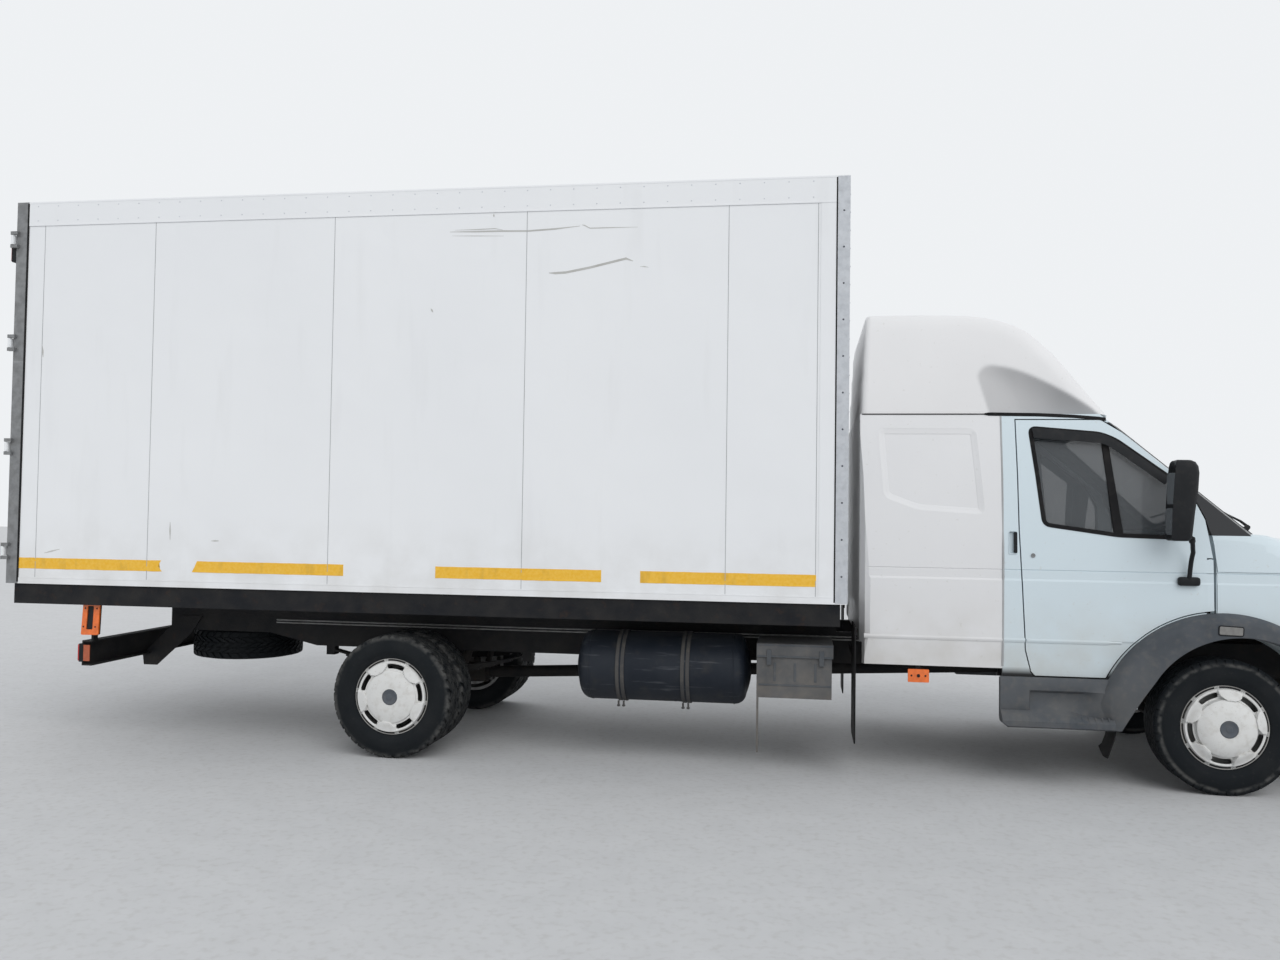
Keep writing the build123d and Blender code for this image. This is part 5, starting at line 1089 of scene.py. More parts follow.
def flaps():
    """The flaps behind the front wheels and the large flaps behind the cab, with their arms."""
    rubber = Shape()
    x, thick = -2.056, 0.008
    large = ((0.700, 0.899), (1.090, 0.899), (1.090, 0.245), (1.065, 0.220), (0.725, 0.220), (0.700, 0.245))
    for side in (1, -1):
        rubber.side = side
        rows = []
        for y, low, lean in ((0.862, 0.232, 0.0), (0.92, 0.214, -0.004), (0.98, 0.198, -0.006),
                             (1.03, 0.194, 0.004)):
            section = ((-0.604, 0.350), (-0.612, 0.300), (-0.630, 0.250), (-0.650, low), (-0.656, low),
                       (-0.637, 0.250), (-0.619, 0.300), (-0.611, 0.350))
            rows.append([(station + lean, y, z) for station, z in section])
        rubber.rows(rows)
        rubber.prism([(x, y, z) for y, z in large], (-thick, 0, 0))
        rubber.block((x - thick, 0.4305, 0.690), (x, 0.720, 0.730))
        rubber.block((x, 0.705, 0.860), (x + 0.006, 1.085, 0.885))
    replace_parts(rubber.finish("flaps", "rubber", bevel=0.001), "mudflaps")


SCREEN_FOOT = Vector((0.216, 0, 1.482))
SCREEN_HEAD = Vector((-0.559, 0, 2.132))
SCREEN_BOW = 3.2


def screen_point(up, across, off=0.0):
    """A point on the windscreen: a length up from its foot, a width and a height off the glass."""
    along = (SCREEN_HEAD - SCREEN_FOOT).normalized()
    normal = Vector((along.z, 0, -along.x))
    bow = math.sqrt(SCREEN_BOW ** 2 - across ** 2) - math.sqrt(SCREEN_BOW ** 2 - 0.75 ** 2)
    return SCREEN_FOOT + along * up + normal * (bow + off) + Vector((0, across, 0))


def screen_trim():
    """Seal, wipers and cowl ribs of the windscreen."""
    length = (SCREEN_HEAD - SCREEN_FOOT).length
    high = length - 0.062
    line = dense(rounded([(-0.812, 0.055), (0.812, 0.055), (0.700, high), (-0.700, high)], 0.07, 6), 0.08)
    seal = Shape()
    seal.ribbon(grown(line, -0.012), grown(line, 0.010), 0.003, 0.006, lambda u, v, h: screen_point(v, u, h))
    seal.finish("screen_seal", "rubber")
    wipers = Shape()
    span = 0.34
    for pivot in (-0.68, 0.06):
        wipers.lathe([(0.0005, -0.03), (0.017, -0.03), (0.016, 0.018), (0.011, 0.026), (0.0005, 0.028)],
                     screen_point(0.012, pivot, 0.004), (0.64, 0, 0.77), 20)
        path = [screen_point(0.012, pivot, 0.022), screen_point(0.05, pivot + 0.05, 0.022),
                screen_point(0.105, pivot + 0.35, 0.018)]
        wipers.tube(path, [0.009, 0.0075, 0.005], 10)
        start = pivot + 0.36 - span
        for first, reach, arch, radius in ((start, 2 * span, 0.0, 0.0045),
                                           (start + 0.2 * span, 1.6 * span, 0.006, 0.0035)):
            bar = []
            for k in range(9):
                off = 0.010 + arch * math.sin(math.pi * k / 8)
                bar.append(screen_point(0.103 + 0.02 * k / 8, first + reach * k / 8, off))
            wipers.tube(bar, radius, 8)
    wipers.finish("wipers", "black_plastic")
    ribs = Shape()
    for k in range(26):
        y = -0.72 + k * 0.0576
        section = ((-0.012, 0.0), (-0.012, 0.005), (0.012, 0.005), (0.012, 0.0))
        ribs.rows([[screen_point(v, y + dy, h) for dy, h in section] for v in (-0.045, -0.005, 0.030)])
    ribs.finish("cowl_ribs", "black_plastic")


WING_EDGE = (-0.044, -0.0535, -0.060, -0.0685, -0.070, -0.070, -0.040)
WING_ROWS = (
    (0.0, ((0.985, 1.262), (0.981, 1.345), (0.9775, 1.41), (0.9745, 1.460), (0.9700, 1.467), (0.950, 1.4685),
           (0.86, 1.469))),
    (0.10, ((0.985, 1.262), (0.981, 1.345), (0.9775, 1.41), (0.9740, 1.462), (0.9690, 1.469), (0.945, 1.4715),
            (0.86, 1.472))),
    (0.19, ((0.985, 1.262), (0.980, 1.345), (0.9755, 1.41), (0.9690, 1.460), (0.9600, 1.470), (0.930, 1.4745),
            (0.80, 1.476))),
    (0.25, ((0.985, 1.262), (0.978, 1.350), (0.9680, 1.412), (0.9500, 1.448), (0.9250, 1.464),
            (0.880, 1.4705), (0.795, 1.472))),
    (0.305, ((0.985, 1.262), (0.974, 1.345), (0.9560, 1.400), (0.9300, 1.432), (0.8900, 1.449),
             (0.850, 1.4560), (0.797, 1.460))),
    (0.40, ((0.984, 1.262), (0.9655, 1.335), (0.940, 1.380), (0.910, 1.409), (0.8750, 1.427), (0.840, 1.437),
            (0.797, 1.4435))),
    (0.47, ((0.979, 1.262), (0.9610, 1.330), (0.9350, 1.3725), (0.9045, 1.4015), (0.8720, 1.4195),
            (0.837, 1.4285), (0.7975, 1.4365))),
    (0.53, ((0.973, 1.262), (0.9570, 1.328), (0.9325, 1.366), (0.902, 1.3975), (0.8700, 1.4150),
            (0.835, 1.4220), (0.7985, 1.4260))),
    (0.575, ((0.9645, 1.262), (0.9535, 1.325), (0.9285, 1.361), (0.8985, 1.392), (0.868, 1.400),
             (0.833, 1.401), (0.7985, 1.401))),
)
CHEEK_ROWS = ((1.4695, -0.0715, 0.9738), (1.50, -0.0850, 0.9708), (1.53, -0.0930, 0.9668),
              (1.556, -0.1000, 0.9632), (1.580, -0.1060, 0.9602))


def wing_tops():
    """The wings' shoulders under the screen pillars, and the black cheeks above them."""
    under = Vector((0, -0.004, -0.003))
    for side, word in SIDES:
        wing = Shape(side)
        rows = [[Vector((edge, y, z)) for edge, (y, z) in zip(WING_EDGE, WING_ROWS[0][1])]]
        for station, section in WING_ROWS:
            rows.append([Vector((station, y + 0.0012, z + 0.0008)) for y, z in section])
        wing.rows([row + [p + under for p in reversed(row)] for row in rows])
        wing.finish(f"wing_top_{word}", "white_paint", angle=50)
        cheek = Shape(side)
        cheek.rows([[(edge, y + 0.0004, z), (edge + 0.03, y + 0.0010, z), (-0.030, y + 0.0010, z),
                     (-0.030, y - 0.004, z), (edge, y - 0.006, z)] for z, edge, y in CHEEK_ROWS])
        cheek.finish(f"pillar_cheek_{word}", "cab_front", slot="black_plastic")


MIRROR = ((1.4365, -0.350, -0.262, 0.018), (1.443, -0.360, -0.251, 0.006), (1.456, -0.3635, -0.245, 0.0),
          (1.60, -0.358, -0.229, 0.0), (1.72, -0.351, -0.2125, 0.0), (1.815, -0.344, -0.2065, 0.0),
          (1.85, -0.341, -0.211, 0.002), (1.874, -0.336, -0.224, 0.008), (1.885, -0.328, -0.244, 0.020))
MIRROR_ARM = [(1.140, 1.462), (1.120, 1.430), (1.075, 1.385), (1.040, 1.330), (1.020, 1.270), (1.006, 1.208)]


def mirror_parts():
    """Mirror housings, their glasses, and the arms with their wide feet."""
    deep = 0.030
    for side, word in SIDES:
        body = f"cab_door_{word}"
        housing = Shape(side)
        rows = []
        for z, x0, x1, inset in MIRROR:
            y0, y1 = 1.052 + inset, 1.2145 - inset
            hollow = 0.038 if inset == 0.0 else 0.0
            section = [(x0 + 0.012, y0), (x0 + 0.03, y0 - 0.001), (x1 - deep, y0 + 0.004),
                       (x1 - 0.009, y0 + 0.016), (x1, y0 + 0.045), (x1 + 0.002, 0.5 * (y0 + y1)),
                       (x1, y1 - 0.045), (x1 - 0.009, y1 - 0.014), (x1 - deep, y1 - 0.003), (x0 + 0.02, y1),
                       (x0, y1 - 0.001), (x0, y1 - 0.006), (x0 + hollow, y1 - 0.009),
                       (x0 + 0.016, y0 + 0.006)]
            rows.append([(x, y, z) for x, y in section])
        housing.rows(rows)
        made = housing.finish(f"mirror_housing_{word}", "black_plastic", body, bevel=0.002, angle=55)
        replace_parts(made, f"mirror_{word}")
        glass = Shape(side)
        for z0, z1, back in ((1.470, 1.618, -0.3605), (1.640, 1.815, -0.3520)):
            face = panel(1.066, z0, 1.198, z1, 0.020)
            tilted = [(back + 0.009 + 0.023 * (p.x - 1.060) / 0.14, p.x, p.y) for p in face]
            glass.prism(tilted, (0.003, 0, 0))
        glass.finish(f"mirror_glass_{word}", "mirror_face", body, "glass", bevel=0.0006)
        foot = Shape(side)
        arm = spline(MIRROR_ARM, 4)
        count = len(arm) - 1
        path = [Vector((-0.243 + 0.042 * min(1, 2.2 * k / count) - 0.004 * k / count, p.x, p.y))
                for k, p in enumerate(arm)]
        foot.tube(path, 0.0125, 14)
        foot.tube([path[2] + Vector((0, 0, 0.004)), path[4]], [0.019, 0.0165], 18)
        rows = []
        for h, wide, tall in ((0.0, 0.057, 0.0245), (0.010, 0.059, 0.0255), (0.022, 0.058, 0.0245),
                              (0.030, 0.053, 0.021), (0.033, 0.045, 0.014)):
            rows.append([(-0.2035 + p.x, 0.9865 + h, 1.205 + p.y)
                         for p in panel(-wide, -tall, wide, tall, tall * 0.7, 5)])
        foot.rows(rows)
        foot.finish(f"mirror_foot_{word}", "black_plastic", body, bevel=0.001)


def front_end():
    """Headlamp bowls, fog lamps, grille vanes and bumper slats."""
    fog, fog_way = (0.980, 0.700, 0.520), (0.93, 0.36, 0)
    for side, word in SIDES:
        bowls = Shape(side)
        for x, y, z, r in ((0.905, 0.640, 0.925, 0.075), (0.870, 0.790, 0.955, 0.062)):
            bowls.lathe([(0.0008, -0.055), (0.02, -0.053), (r * 0.6, -0.035), (r * 0.9, -0.010), (r, 0.004),
                         (r - 0.004, 0.006), (r * 0.86, -0.008), (r * 0.55, -0.030), (0.0008, -0.048)],
                        (x, y, z), (0.95, 0.30, 0.06), 40)
        bowls.finish(f"lamp_bowls_{word}", "mirror_face", slot="glass")
        glass = Shape(side)
        glass.lathe([(0.0005, -0.02), (0.045, -0.018), (0.050, 0.0), (0.046, 0.006), (0.030, 0.009),
                     (0.0005, 0.010)], fog, fog_way, 36)
        glass.finish(f"fog_lamp_{word}", "lamp_glass", bevel=0.0006)
        rim = Shape(side)
        rim.lathe([(0.048, -0.012), (0.060, -0.012), (0.062, 0.006), (0.054, 0.010), (0.048, 0.004)],
                  fog, fog_way, 36)
        rim.finish(f"fog_rim_{word}", "black_plastic")
    vanes = Shape()
    for k in range(34):
        y = -0.396 + 0.024 * k
        for z in (0.815, 0.866, 0.917, 0.968):
            vanes.block((0.988, y - 0.0012, z), (1.000, y + 0.0012, z + 0.028))
    vanes.finish("grille_vanes", "black_plastic")
    slats = Shape()
    for k in range(4):
        z = 0.446 + 0.022 * k
        slats.block((1.020, -0.328, z - 0.003), (1.036, 0.328, z + 0.003))
    slats.finish("bumper_slats", "black_plastic", bevel=0.001)


# The chassis

def add_hoop(shape, station, section, turns, **how):
    """A band round the tank: a section of (radius, shift) pairs at each turn, in degrees."""
    rows = []
    for turn in turns:
        a = math.radians(turn)
        rows.append([(station + shift, TANK_Y - r * math.cos(a), TANK_Z + r * math.sin(a))
                     for r, shift in section])
    shape.rows(rows, **how)


def tank_parts():
    """The gas tank's straps with their bolts, its seams and its valve."""
    straps = Shape()
    strap = ((0.2195, -0.0115), (0.2225, -0.010), (0.2225, 0.010), (0.2195, 0.0115))
    for station in (-3.473, -3.071):
        for dx in (-0.016, 0.016):
            add_hoop(straps, station + dx, strap, [-150 + 300 * k / 72 for k in range(73)])
            straps.tube([(station + dx, -0.890, 0.386), (station + dx, -0.890, 0.350)], 0.006, 10)
            straps.lathe([(0.0003, 0), (0.011, 0), (0.011, 0.009), (0.0003, 0.009)],
                         (station + dx, -0.890, 0.352), (0, 0, 1), 6)
    straps.finish("tank_straps", "strap", slot="black_chassis", bevel=0.001)
    seams = Shape()
    seam = ((0.2142, -0.006), (0.2175, -0.003), (0.2175, 0.003), (0.2142, 0.006))
    for station in (-3.666, -2.779):
        add_hoop(seams, station, seam, [360 * k / 64 for k in range(64)], closed_path=True)
    seams.lathe([(0.0005, -0.02), (0.038, -0.02), (0.038, 0.006), (0.030, 0.010), (0.030, 0.022),
                 (0.0005, 0.022)],
                (-3.740, TANK_Y, 0.660), (-1, 0, 0), 28)
    seams.finish("tank_seams", "tank_metal", slot="black_chassis")


def battery_fittings():
    """Lid edges, clasps and ribs on the face of the battery box."""
    x0, x1, y = -2.635, -2.183, -1.0105
    box = Shape()
    for z0, z1 in ((0.700, 0.712), (0.768, 0.779)):
        box.block((x0 + 0.004, y - 0.002, z0), (x1 - 0.004, y + 0.004, z1))
    for dx in (0.06, 0.37):
        box.block((x0 + dx, y - 0.005, 0.655), (x0 + dx + 0.028, y + 0.012, 0.745))
    box.block((x0 + 0.012, -1.003, 0.530), (x1 - 0.012, -0.998, 0.541))
    for k in range(3):
        start = x0 + 0.10 + 0.12 * k
        box.block((start, -1.0025, 0.558), (start + 0.015, -0.998, 0.668))
    box.finish("battery_fittings", "grey_plastic", bevel=0.0012)


def running_gear():
    """U-bolts and dampers of both axles, the rear brake chambers and the pipes along the rails."""
    bolts = Shape()
    nut = [(0.0003, 0), (0.013, 0), (0.013, 0.012), (0.0003, 0.012)]
    y0, y1 = 0.345, 0.438
    for side in (1, -1):
        bolts.side = side
        for station, axle_z, top_z, half in ((0, 0.300, 0.392, 0.052), (-WHEELBASE, 0.322, 0.496, 0.050)):
            for x in (station - half, station + half):
                for y in (y0, y1):
                    bolts.tube([(x, y, axle_z - 0.02), (x, y, top_z)], 0.0075, 10)
                    bolts.lathe(nut, (x, y, axle_z - 0.012), (0, 0, 1), 6)
                bolts.tube([(x, y0, top_z - 0.003), (x, y0 + 0.014, top_z + 0.010),
                            (x, y1 - 0.014, top_z + 0.010), (x, y1, top_z - 0.003)], 0.0075, 10)
        for station, low, high in ((0.16, (0.400, 0.335), (0.455, 0.700)),
                                   (-WHEELBASE + 0.24, (0.300, 0.350), (0.330, 0.690))):
            a, b = Vector((station - 0.05, *low)), Vector((station + 0.05, *high))
            line = [a, a.lerp(b, 0.50), a.lerp(b, 0.501), a.lerp(b, 0.96)]
            bolts.tube(line, [0.022, 0.022, 0.029, 0.029], 18)
    bolts.finish("axle_bolts", "cast_metal")
    chambers = Shape()
    can = [(0.0005, 0), (0.060, 0), (0.068, 0.012), (0.068, 0.040), (0.074, 0.044), (0.074, 0.052),
           (0.068, 0.056), (0.066, 0.105), (0.050, 0.122), (0.0005, 0.124)]
    x = -WHEELBASE - 0.185
    for y in (-0.34, 0.34):
        chambers.lathe(can, (x, y, 0.452), (0.25, 0, 0.97), 32)
        chambers.tube([(x, y, 0.455), (x + 0.085, y, 0.405), (x + 0.165, y, 0.405)], 0.014)
    chambers.finish("brake_chambers", "black_chassis")
    pipes = Shape()
    for y, z in ((-RAIL_Y, 0.770), (-RAIL_Y, 0.752), (RAIL_Y, 0.762)):
        pipes.tube([(-6.0, y, z), (-4.2, y, z - 0.004), (-2.2, y, z), (-0.9, y, z)], 0.0055, 8)
    pipes.finish("rail_pipes", "wheel_steel")


# The cabin

PUFF = 0.028
CORNER_RADIUS = 0.30


def padded_form(name, low, high, ribs=5, way=0):
    """A crowned cushion between two corners, with sewn channels across its top."""
    form = Shape()
    low, high = form.point(*low), form.point(*high)
    centre, half = (low + high) / 2, (high - low) / 2
    bmesh.ops.create_cube(form.bm, size=2)
    bmesh.ops.subdivide_edges(form.bm, edges=form.bm.edges, cuts=17, use_grid_fill=True)
    thin = min(range(3), key=lambda i: half[i])
    others = [i for i in range(3) if i != thin]
    for v in form.bm.verts:
        p = v.co.copy()
        a, b = abs(p[others[0]]), abs(p[others[1]])
        edge = max(a, b)
        crown = (1 - a ** 4) * (1 - b ** 4)
        q = Vector((p.x * half.x, p.y * half.y, p.z * half.z))
        q[thin] = p[thin] * (half[thin] - PUFF + PUFF * crown ** 0.5)
        if abs(p[thin]) < 0.99 and edge > 0.99:
            pull = 0.18 * PUFF * (1 - abs(p[thin]))
            for i in others:
                if abs(p[i]) > 0.99:
                    q[i] -= math.copysign(pull, p[i])
        near = max(0.0, a - 1 + CORNER_RADIUS) * max(0.0, b - 1 + CORNER_RADIUS) / CORNER_RADIUS ** 2
        for i in others:
            q[i] *= 1 - 0.06 * min(1.0, near)
        if ribs and abs(p[thin]) > 0.99 and edge < 0.93:
            wave = abs(math.sin(math.pi * ribs * 0.5 * (p[others[way]] + 1)))
            q[thin] -= math.copysign(0.007 * (1 - wave ** 0.35) * (1 if edge < 0.88 else 0.4), p[thin])
        v.co = centre + q
    made = form.finish(name, "seat_fabric", angle=180)
    modifier = made.modifiers.new("smooth", "SUBSURF")
    modifier.levels = modifier.render_levels = 1
    return made


def seats():
    """Seat cushions on their bases, and the bunk's mattress on its box."""
    for name, y0, y1 in (("bench", -0.830, -0.020), ("driver", 0.190, 0.690)):
        middle = (y0 + y1) / 2
        cushion = padded_form(f"{name}_cushion", (-1.120, y0 + 0.005, 0.985), (-0.645, y1 - 0.005, 1.130))
        if name == "bench":
            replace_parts(cushion, "seats")
        padded_form(f"{name}_back", (-1.215, y0 + 0.008, 1.100), (-1.085, y1 - 0.008, 1.670), way=1)
        low, high = (-1.225, middle - 0.120, 1.690), (-1.145, middle + 0.120, 1.845)
        padded_form(f"{name}_headrest", low, high, ribs=0)
        base = Shape()
        base.block((-1.10, y0 + 0.03, 0.832), (-0.68, y1 - 0.03, 0.984))
        for y in (middle - 0.05, middle + 0.05):
            base.tube([(-1.19, y, 1.65), (-1.19, y, 1.72)], 0.007, 10)
        base.finish(f"{name}_base", "black_plastic", slot="seat_fabric", bevel=0.02)
    mattress = padded_form("mattress", (-1.915, -0.878, 0.995), (-1.292, 0.878, 1.149), ribs=9, way=1)
    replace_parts(mattress, "bunk")
    box = Shape()
    box.block((-1.918, -0.880, 0.8305), (-1.292, 0.880, 0.993))
    box.finish("bunk_box", "grey_plastic", slot="seat_fabric", bevel=0.01)


def dash_details():
    """The dashboard's vents and the gear lever."""
    vents = Shape()
    for y in (-0.78, -0.42, -0.10, 0.12, 0.78):
        face = panel(y - 0.06, 1.235, y + 0.06, 1.300, 0.012)
        inner = [Vector((y + (p.x - y) * 0.90, 1.2675 + (p.y - 1.2675) * 0.84)) for p in face]
        vents.ribbon(inner, face, 0.004, 0.003, lambda u, v, h: (-0.425 - h + (v - 1.30) * 0.35, u, v))
    vents.finish("dash_vents", "black_plastic")
    lever = Shape()
    lever.tube([(-0.56, 0.06, 0.83), (-0.60, 0.06, 1.02), (-0.62, 0.06, 1.12)], [0.030, 0.012, 0.010], 14)
    lever.lathe([(0.0005, -0.022), (0.018, -0.018), (0.026, 0.0), (0.020, 0.020), (0.0005, 0.026)],
                (-0.625, 0.06, 1.135), (0, 0, 1), 24)
    lever.finish("gear_lever", "black_plastic")


# The roof fairing

SCOOP_EDGE = [(-1.45, 2.487), (-1.289, 2.479), (-1.13, 2.447), (-0.971, 2.380), (-0.78, 2.272),
              (-0.596, 2.150), (-0.45, 2.05)]
BROW = [(-2.6, 2.790), (-2.0, 2.797), (-1.64, 2.800), (-1.40, 2.797), (-1.20, 2.784), (-1.06, 2.752),
        (-0.94, 2.697), (-0.86, 2.630), (-0.78, 2.550), (-0.70, 2.452), (-0.62, 2.347), (-0.54, 2.244),
        (-0.474, 2.162), (-0.41, 2.08)]
WALLS = [(2.10, 0.886), (2.168, 0.8765), (2.33, 0.859), (2.50, 0.835), (2.64, 0.808), (2.74, 0.782),
         (2.90, 0.73)]
REAR = [(2.10, -2.027), (2.168, -2.026), (2.50, -2.012), (2.74, -2.000), (2.90, -1.990)]
PLAN_BOW = 3.3
FAIRING_FOOT = 2.1685
SCOOP_DEPTH = 0.055
# How strong the painted shade inside the scoops is, station by station.
SHADE_STATIONS = [-1.42, -1.356, -1.27, -1.10, -0.983, -0.87]
SHADE_VALUES = [0.30, 0.42, 0.48, 0.48, 0.57, 0.69]


def blend_max(a, b, width):
    """The larger of two values, rounded where they meet."""
    share = np.clip(0.5 + 0.5 * (a - b) / width, 0, 1)
    return b + (a - b) * share + width * share * (1 - share)


def curve_table(points):
    fine = spline(points, 16)
    return np.array([p.x for p in fine]), np.array([p.y for p in fine])


def roof_fairing():
    """The bowed fairing on the cab's roof, with a scoop that sinks into each side and painted shade inside
    each scoop, kept in the shade attribute.
    """
    brow, walls, rear, edge = (curve_table(t) for t in (BROW, WALLS, REAR, SCOOP_EDGE))

    def parts(s, y, z):
        radial = np.hypot(s + PLAN_BOW, y) - PLAN_BOW
        slope = (np.interp(radial + 0.01, *brow) - np.interp(radial - 0.01, *brow)) / 0.02
        top = (z - np.interp(radial, *brow)) / np.sqrt(1 + slope ** 2)
        return top, 0.985 * (np.abs(y) - np.interp(z, *walls)), np.interp(z, *rear) - s

    stations = np.concatenate([np.linspace(-2.0255, -1.96, 9), np.linspace(-1.94, -1.43, 18),
                               np.linspace(-1.415, -0.56, 84), np.linspace(-0.552, -0.4785, 14)])
    turns = np.radians(np.concatenate([np.linspace(0, 23, 34), np.linspace(24.2, 90, 40)]))
    s, turn = np.meshgrid(stations, turns, indexing="ij")
    low, high = np.zeros_like(s), np.full_like(s, 1.3)
    for _ in range(34):
        middle = (low + high) / 2
        top, wall, back = parts(s, middle * np.cos(turn), FAIRING_FOOT + middle * np.sin(turn))
        outside = blend_max(blend_max(top, wall, 0.085), back, 0.04) > 0
        high = np.where(outside, middle, high)
        low = np.where(outside, low, middle)
    y, z = low * np.cos(turn), FAIRING_FOOT + low * np.sin(turn)
    top, wall, back = parts(s, y, z)
    ahead = 0.95 * (s - np.interp(z, [2.17, 2.40], [-1.285, -1.352]))
    below = 0.90 * (np.interp(s, *edge) - z)
    inside = -blend_max(-ahead, -below, 0.10)
    on_wall = np.clip((wall - top) / 0.03, 0, 1)
    ease = np.clip(ahead / 0.20, 0, 1)
    ease = ease * ease * (3 - 2 * ease)
    y = y - SCOOP_DEPTH * np.tanh(np.maximum(below, 0) / 0.11) * ease * on_wall
    # Painted shade inside each scoop: crisp under the upper edge, darker towards the front.
    shade = np.clip(inside / 0.018, 0, 1) * on_wall * np.interp(s, SHADE_STATIONS, SHADE_VALUES)
    fairing = Shape()
    layer = fairing.bm.verts.layers.float.new("shade")
    rows, marks = [], []
    for i in range(len(stations)):
        right = [(s[i, j], -y[i, j], z[i, j]) for j in range(len(turns))]
        rows.append(right + [(x, -v, w) for x, v, w in reversed(right[:-1])])
        marks += list(shade[i]) + list(reversed(shade[i][:-1]))
    fairing.rows(rows)
    for vert, mark in zip(fairing.bm.verts, marks):
        vert[layer] = mark
    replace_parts(fairing.finish("fairing", "fairing", slot="white_moulding", angle=60), "roof_fairing")


def lamp_set():
    """Top lamps, framed corner lamps, tail lamps, bar ends and the sleeper's side markers."""
    shapes = {name: Shape() for name in ("lamp_plastic", "black_plastic", "red_lens", "bar_lens")}
    orange, black, red, bar = shapes.values()
    frame_points = rounded([(-7.020, 0.706), (-6.897, 0.708), (-6.888, 0.938), (-7.006, 0.936)], 0.010)
    window = rounded([(-6.984, 0.742), (-6.938, 0.743), (-6.931, 0.895), (-6.974, 0.895)], 0.006)
    screw = [(0.0003, 0.0), (0.006, 0.0), (0.005, 0.002), (0.0003, 0.003)]
    top = panel(1.094, 3.158, 1.1435, 3.262, 0.010)
    for side in (1, -1):
        for shape in shapes.values():
            shape.side = side
        orange.ribbon(window, frame_points, 0.010, 0.004, on_plane(1.088))
        black.prism([(u, 1.082, v) for u, v in window], (0, 0.008, 0))
        black.prism([(u, 1.074, v) for u, v in frame_points], (0, 0.009, 0))
        for u, v in ((-7.002, 0.760), (-6.990, 0.880), (-6.918, 0.760), (-6.908, 0.880)):
            black.lathe(screw, (u, 1.098, v), (0, 1, 0), 8)
        black.block((-6.960, 1.028, 0.669), (-6.945, 1.074, 0.944))
        for y0, y1, target in ((0.755, 0.858, red), (0.864, 0.966, orange), (0.972, 1.075, red)):
            face = panel(y0, 0.532, y1, 0.643, 0.012)
            target.prism([(-7.0412, u, v) for u, v in face], (-0.0125, 0, 0))
        black.block((-7.0205, 0.750, 0.528), (-7.0415, 1.080, 0.647))
        bar.block((-7.006, 1.0795, 0.535), (-6.962, 1.0865, 0.640))
        black.prism([(BOX_REAR - 0.0005, u, v) for u, v in top], (-0.032, 0, 0))
        red.prism([(BOX_REAR - 0.0325, u, v) for u, v in grown(top, -0.010)], (-0.010, 0, 0))
        marker = panel(-1.747, 0.574, -1.625, 0.651, 0.006)
        orange.prism([(u, 0.938, v) for u, v in marker], (0, 0.012, 0))
        black.block((-1.700, 0.920, 0.640), (-1.672, 0.938, 0.676))
    for name, shape in shapes.items():
        slot = "black_plastic" if shape is black else "lamp_plastic"
        made = shape.finish(f"lamps_{name}", name, slot=slot, bevel=0.0012)
        if shape is orange:
            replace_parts(made, "lamps")


NODE_MATERIALS = {"gas_tank": "tank_metal", "battery_box": "battery_grey", "exhaust": "cast_metal",
                  "cab_frame": "cab_front"}


def dress_nodes():
    """Every CAD node that stays gets the material of its slot, or one of its own."""
    slots = {entry["node"]: entry["material_slot"] for entry in frame["record"]["subparts"]}
    for name, made in frame["nodes"].items():
        key = NODE_MATERIALS.get(name, slots.get(name))
        made.data.materials.clear()
        made.data.materials.append(MATERIALS[key])


# Camera and stage

def make_camera():
    """The photograph's viewpoint, fitted to the wheels and the box."""
    yaw, pitch, roll = -0.1514, 0.0313, 0.0138
    ahead = Vector((math.sin(yaw) * math.cos(pitch), math.cos(yaw) * math.cos(pitch), math.sin(pitch)))
    level = Vector((math.cos(yaw), -math.sin(yaw), 0))
    above = level.cross(ahead)
    right = math.cos(roll) * level + math.sin(roll) * above
    up = math.cos(roll) * above - math.sin(roll) * level
    data = bpy.data.cameras.new("camera")
    data.lens, data.sensor_width = 29.93, 36.0
    data.clip_end = 400
    camera = bpy.data.objects.new("camera", data)
    bpy.context.scene.collection.objects.link(camera)
    matrix = Matrix((right, up, -ahead)).transposed().to_4x4()
    matrix.translation = (at(-2.3743), -7.4431, 1.5484)
    camera.matrix_world = matrix
    bpy.context.scene.camera = camera


def soft_light(name, way, spread, share):
    """A far, wide lamp that lights a white face turned to it to a share of full white, and isn't mirrored."""
    data = bpy.data.lights.new(name, "SUN")
    data.angle = math.radians(spread)
    data.energy = share * math.pi
    light = bpy.data.objects.new(name, data)
    light.visible_glossy = False
    bpy.context.scene.collection.objects.link(light)
    light.rotation_euler = Vector(way).to_track_quat("-Z", "Y").to_euler()


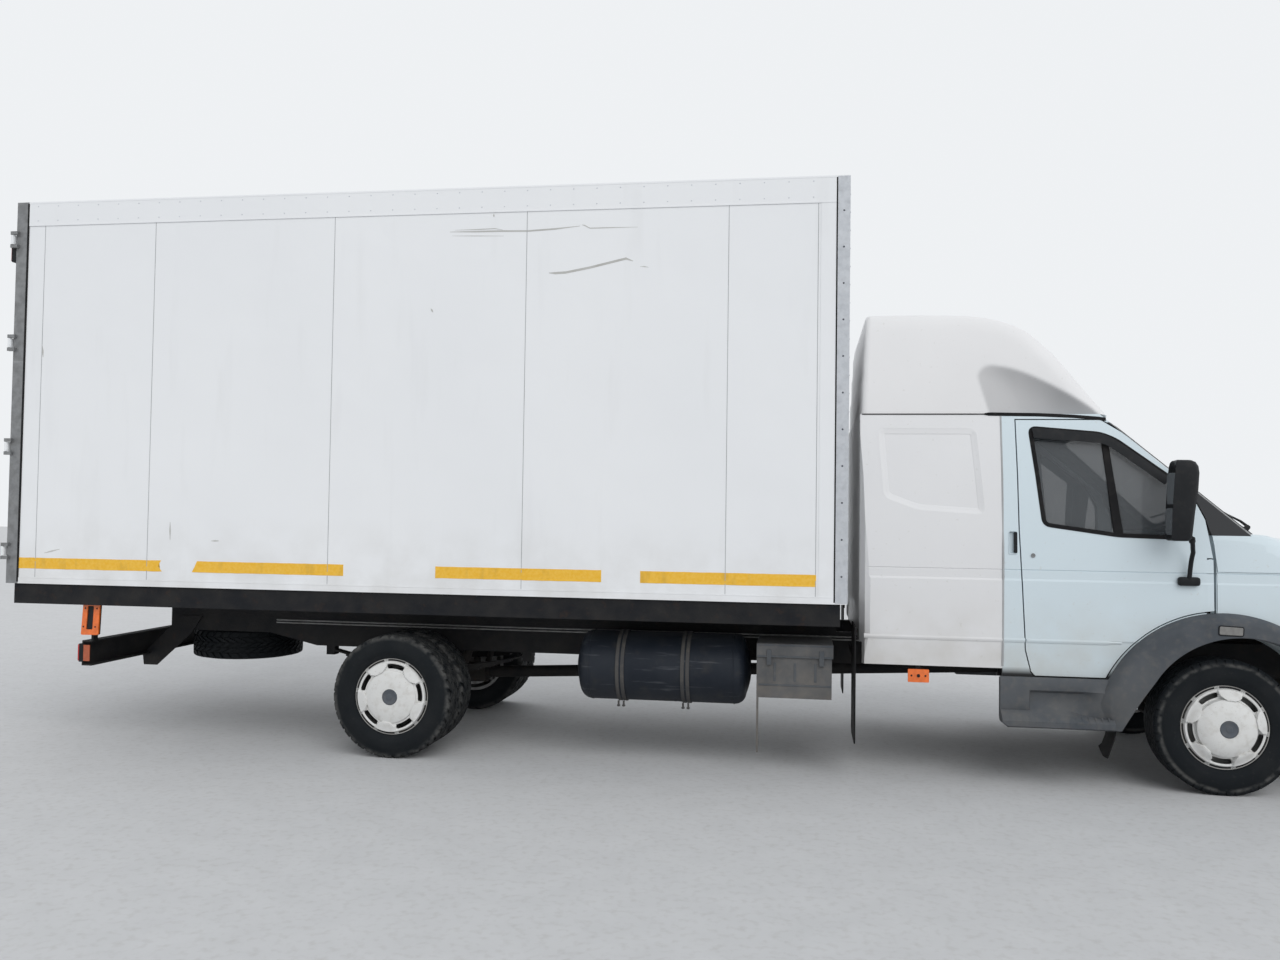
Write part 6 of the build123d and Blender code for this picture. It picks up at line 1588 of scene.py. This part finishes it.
def background(tree, colour, strength):
    made = tree.nodes.new("ShaderNodeBackground")
    made.inputs["Color"].default_value = (*colour, 1)
    made.inputs["Strength"].default_value = strength
    return made.outputs[0]


def make_sky():
    """A soft sky that lights the truck, and a plainer one that the camera and mirrors see."""
    world = bpy.data.worlds.new("sky")
    bpy.context.scene.world = world
    world.use_nodes = True
    tree = world.node_tree
    tree.nodes.clear()
    rays = tree.nodes.new("ShaderNodeLightPath").outputs
    seen = rays["Is Camera Ray"]
    for name in ("Is Glossy Ray", "Is Transmission Ray"):
        most = tree.nodes.new("ShaderNodeMath")
        most.operation = "MAXIMUM"
        tree.links.new(seen, most.inputs[0])
        tree.links.new(rays[name], most.inputs[1])
        seen = most.outputs[0]
    mix = tree.nodes.new("ShaderNodeMixShader")
    tree.links.new(seen, mix.inputs[0])
    tree.links.new(background(tree, (0.93, 0.96, 1.0), 0.62), mix.inputs[1])
    tree.links.new(background(tree, (0.86, 0.88, 0.90), 1.0), mix.inputs[2])
    tree.links.new(mix.outputs[0], tree.nodes.new("ShaderNodeOutputWorld").inputs[0])


def make_stage():
    """Pale floor, soft sky and soft lamps."""
    make_sky()
    bm = bmesh.new()
    bmesh.ops.create_grid(bm, x_segments=1, y_segments=1, size=60)
    mesh = bpy.data.meshes.new("floor")
    bm.to_mesh(mesh)
    bm.free()
    floor = bpy.data.objects.new("floor", mesh)
    bpy.context.scene.collection.objects.link(floor)
    mesh.materials.append(MATERIALS["floor"])
    soft_light("key", (-0.35, 0.85, -0.70), 50, 0.46)
    soft_light("fill", (-0.95, 0.25, -0.35), 60, 0.10)
    soft_light("back", (0.45, -0.80, -0.60), 60, 0.24)
    bpy.context.scene.view_settings.view_transform = "Standard"


make_materials()
make_camera()
make_stage()
dress_nodes()
for make in (tyres, spare_rim, wheel_trim, roof_fairing, box_trim, tapes, scuffs, rear_gear, window_trim,
             door_hardware, cab_lines, skirts, flaps, wing_tops, screen_trim, mirror_parts, front_end,
             tank_parts, battery_fittings, running_gear, seats, dash_details, lamp_set):
    make()
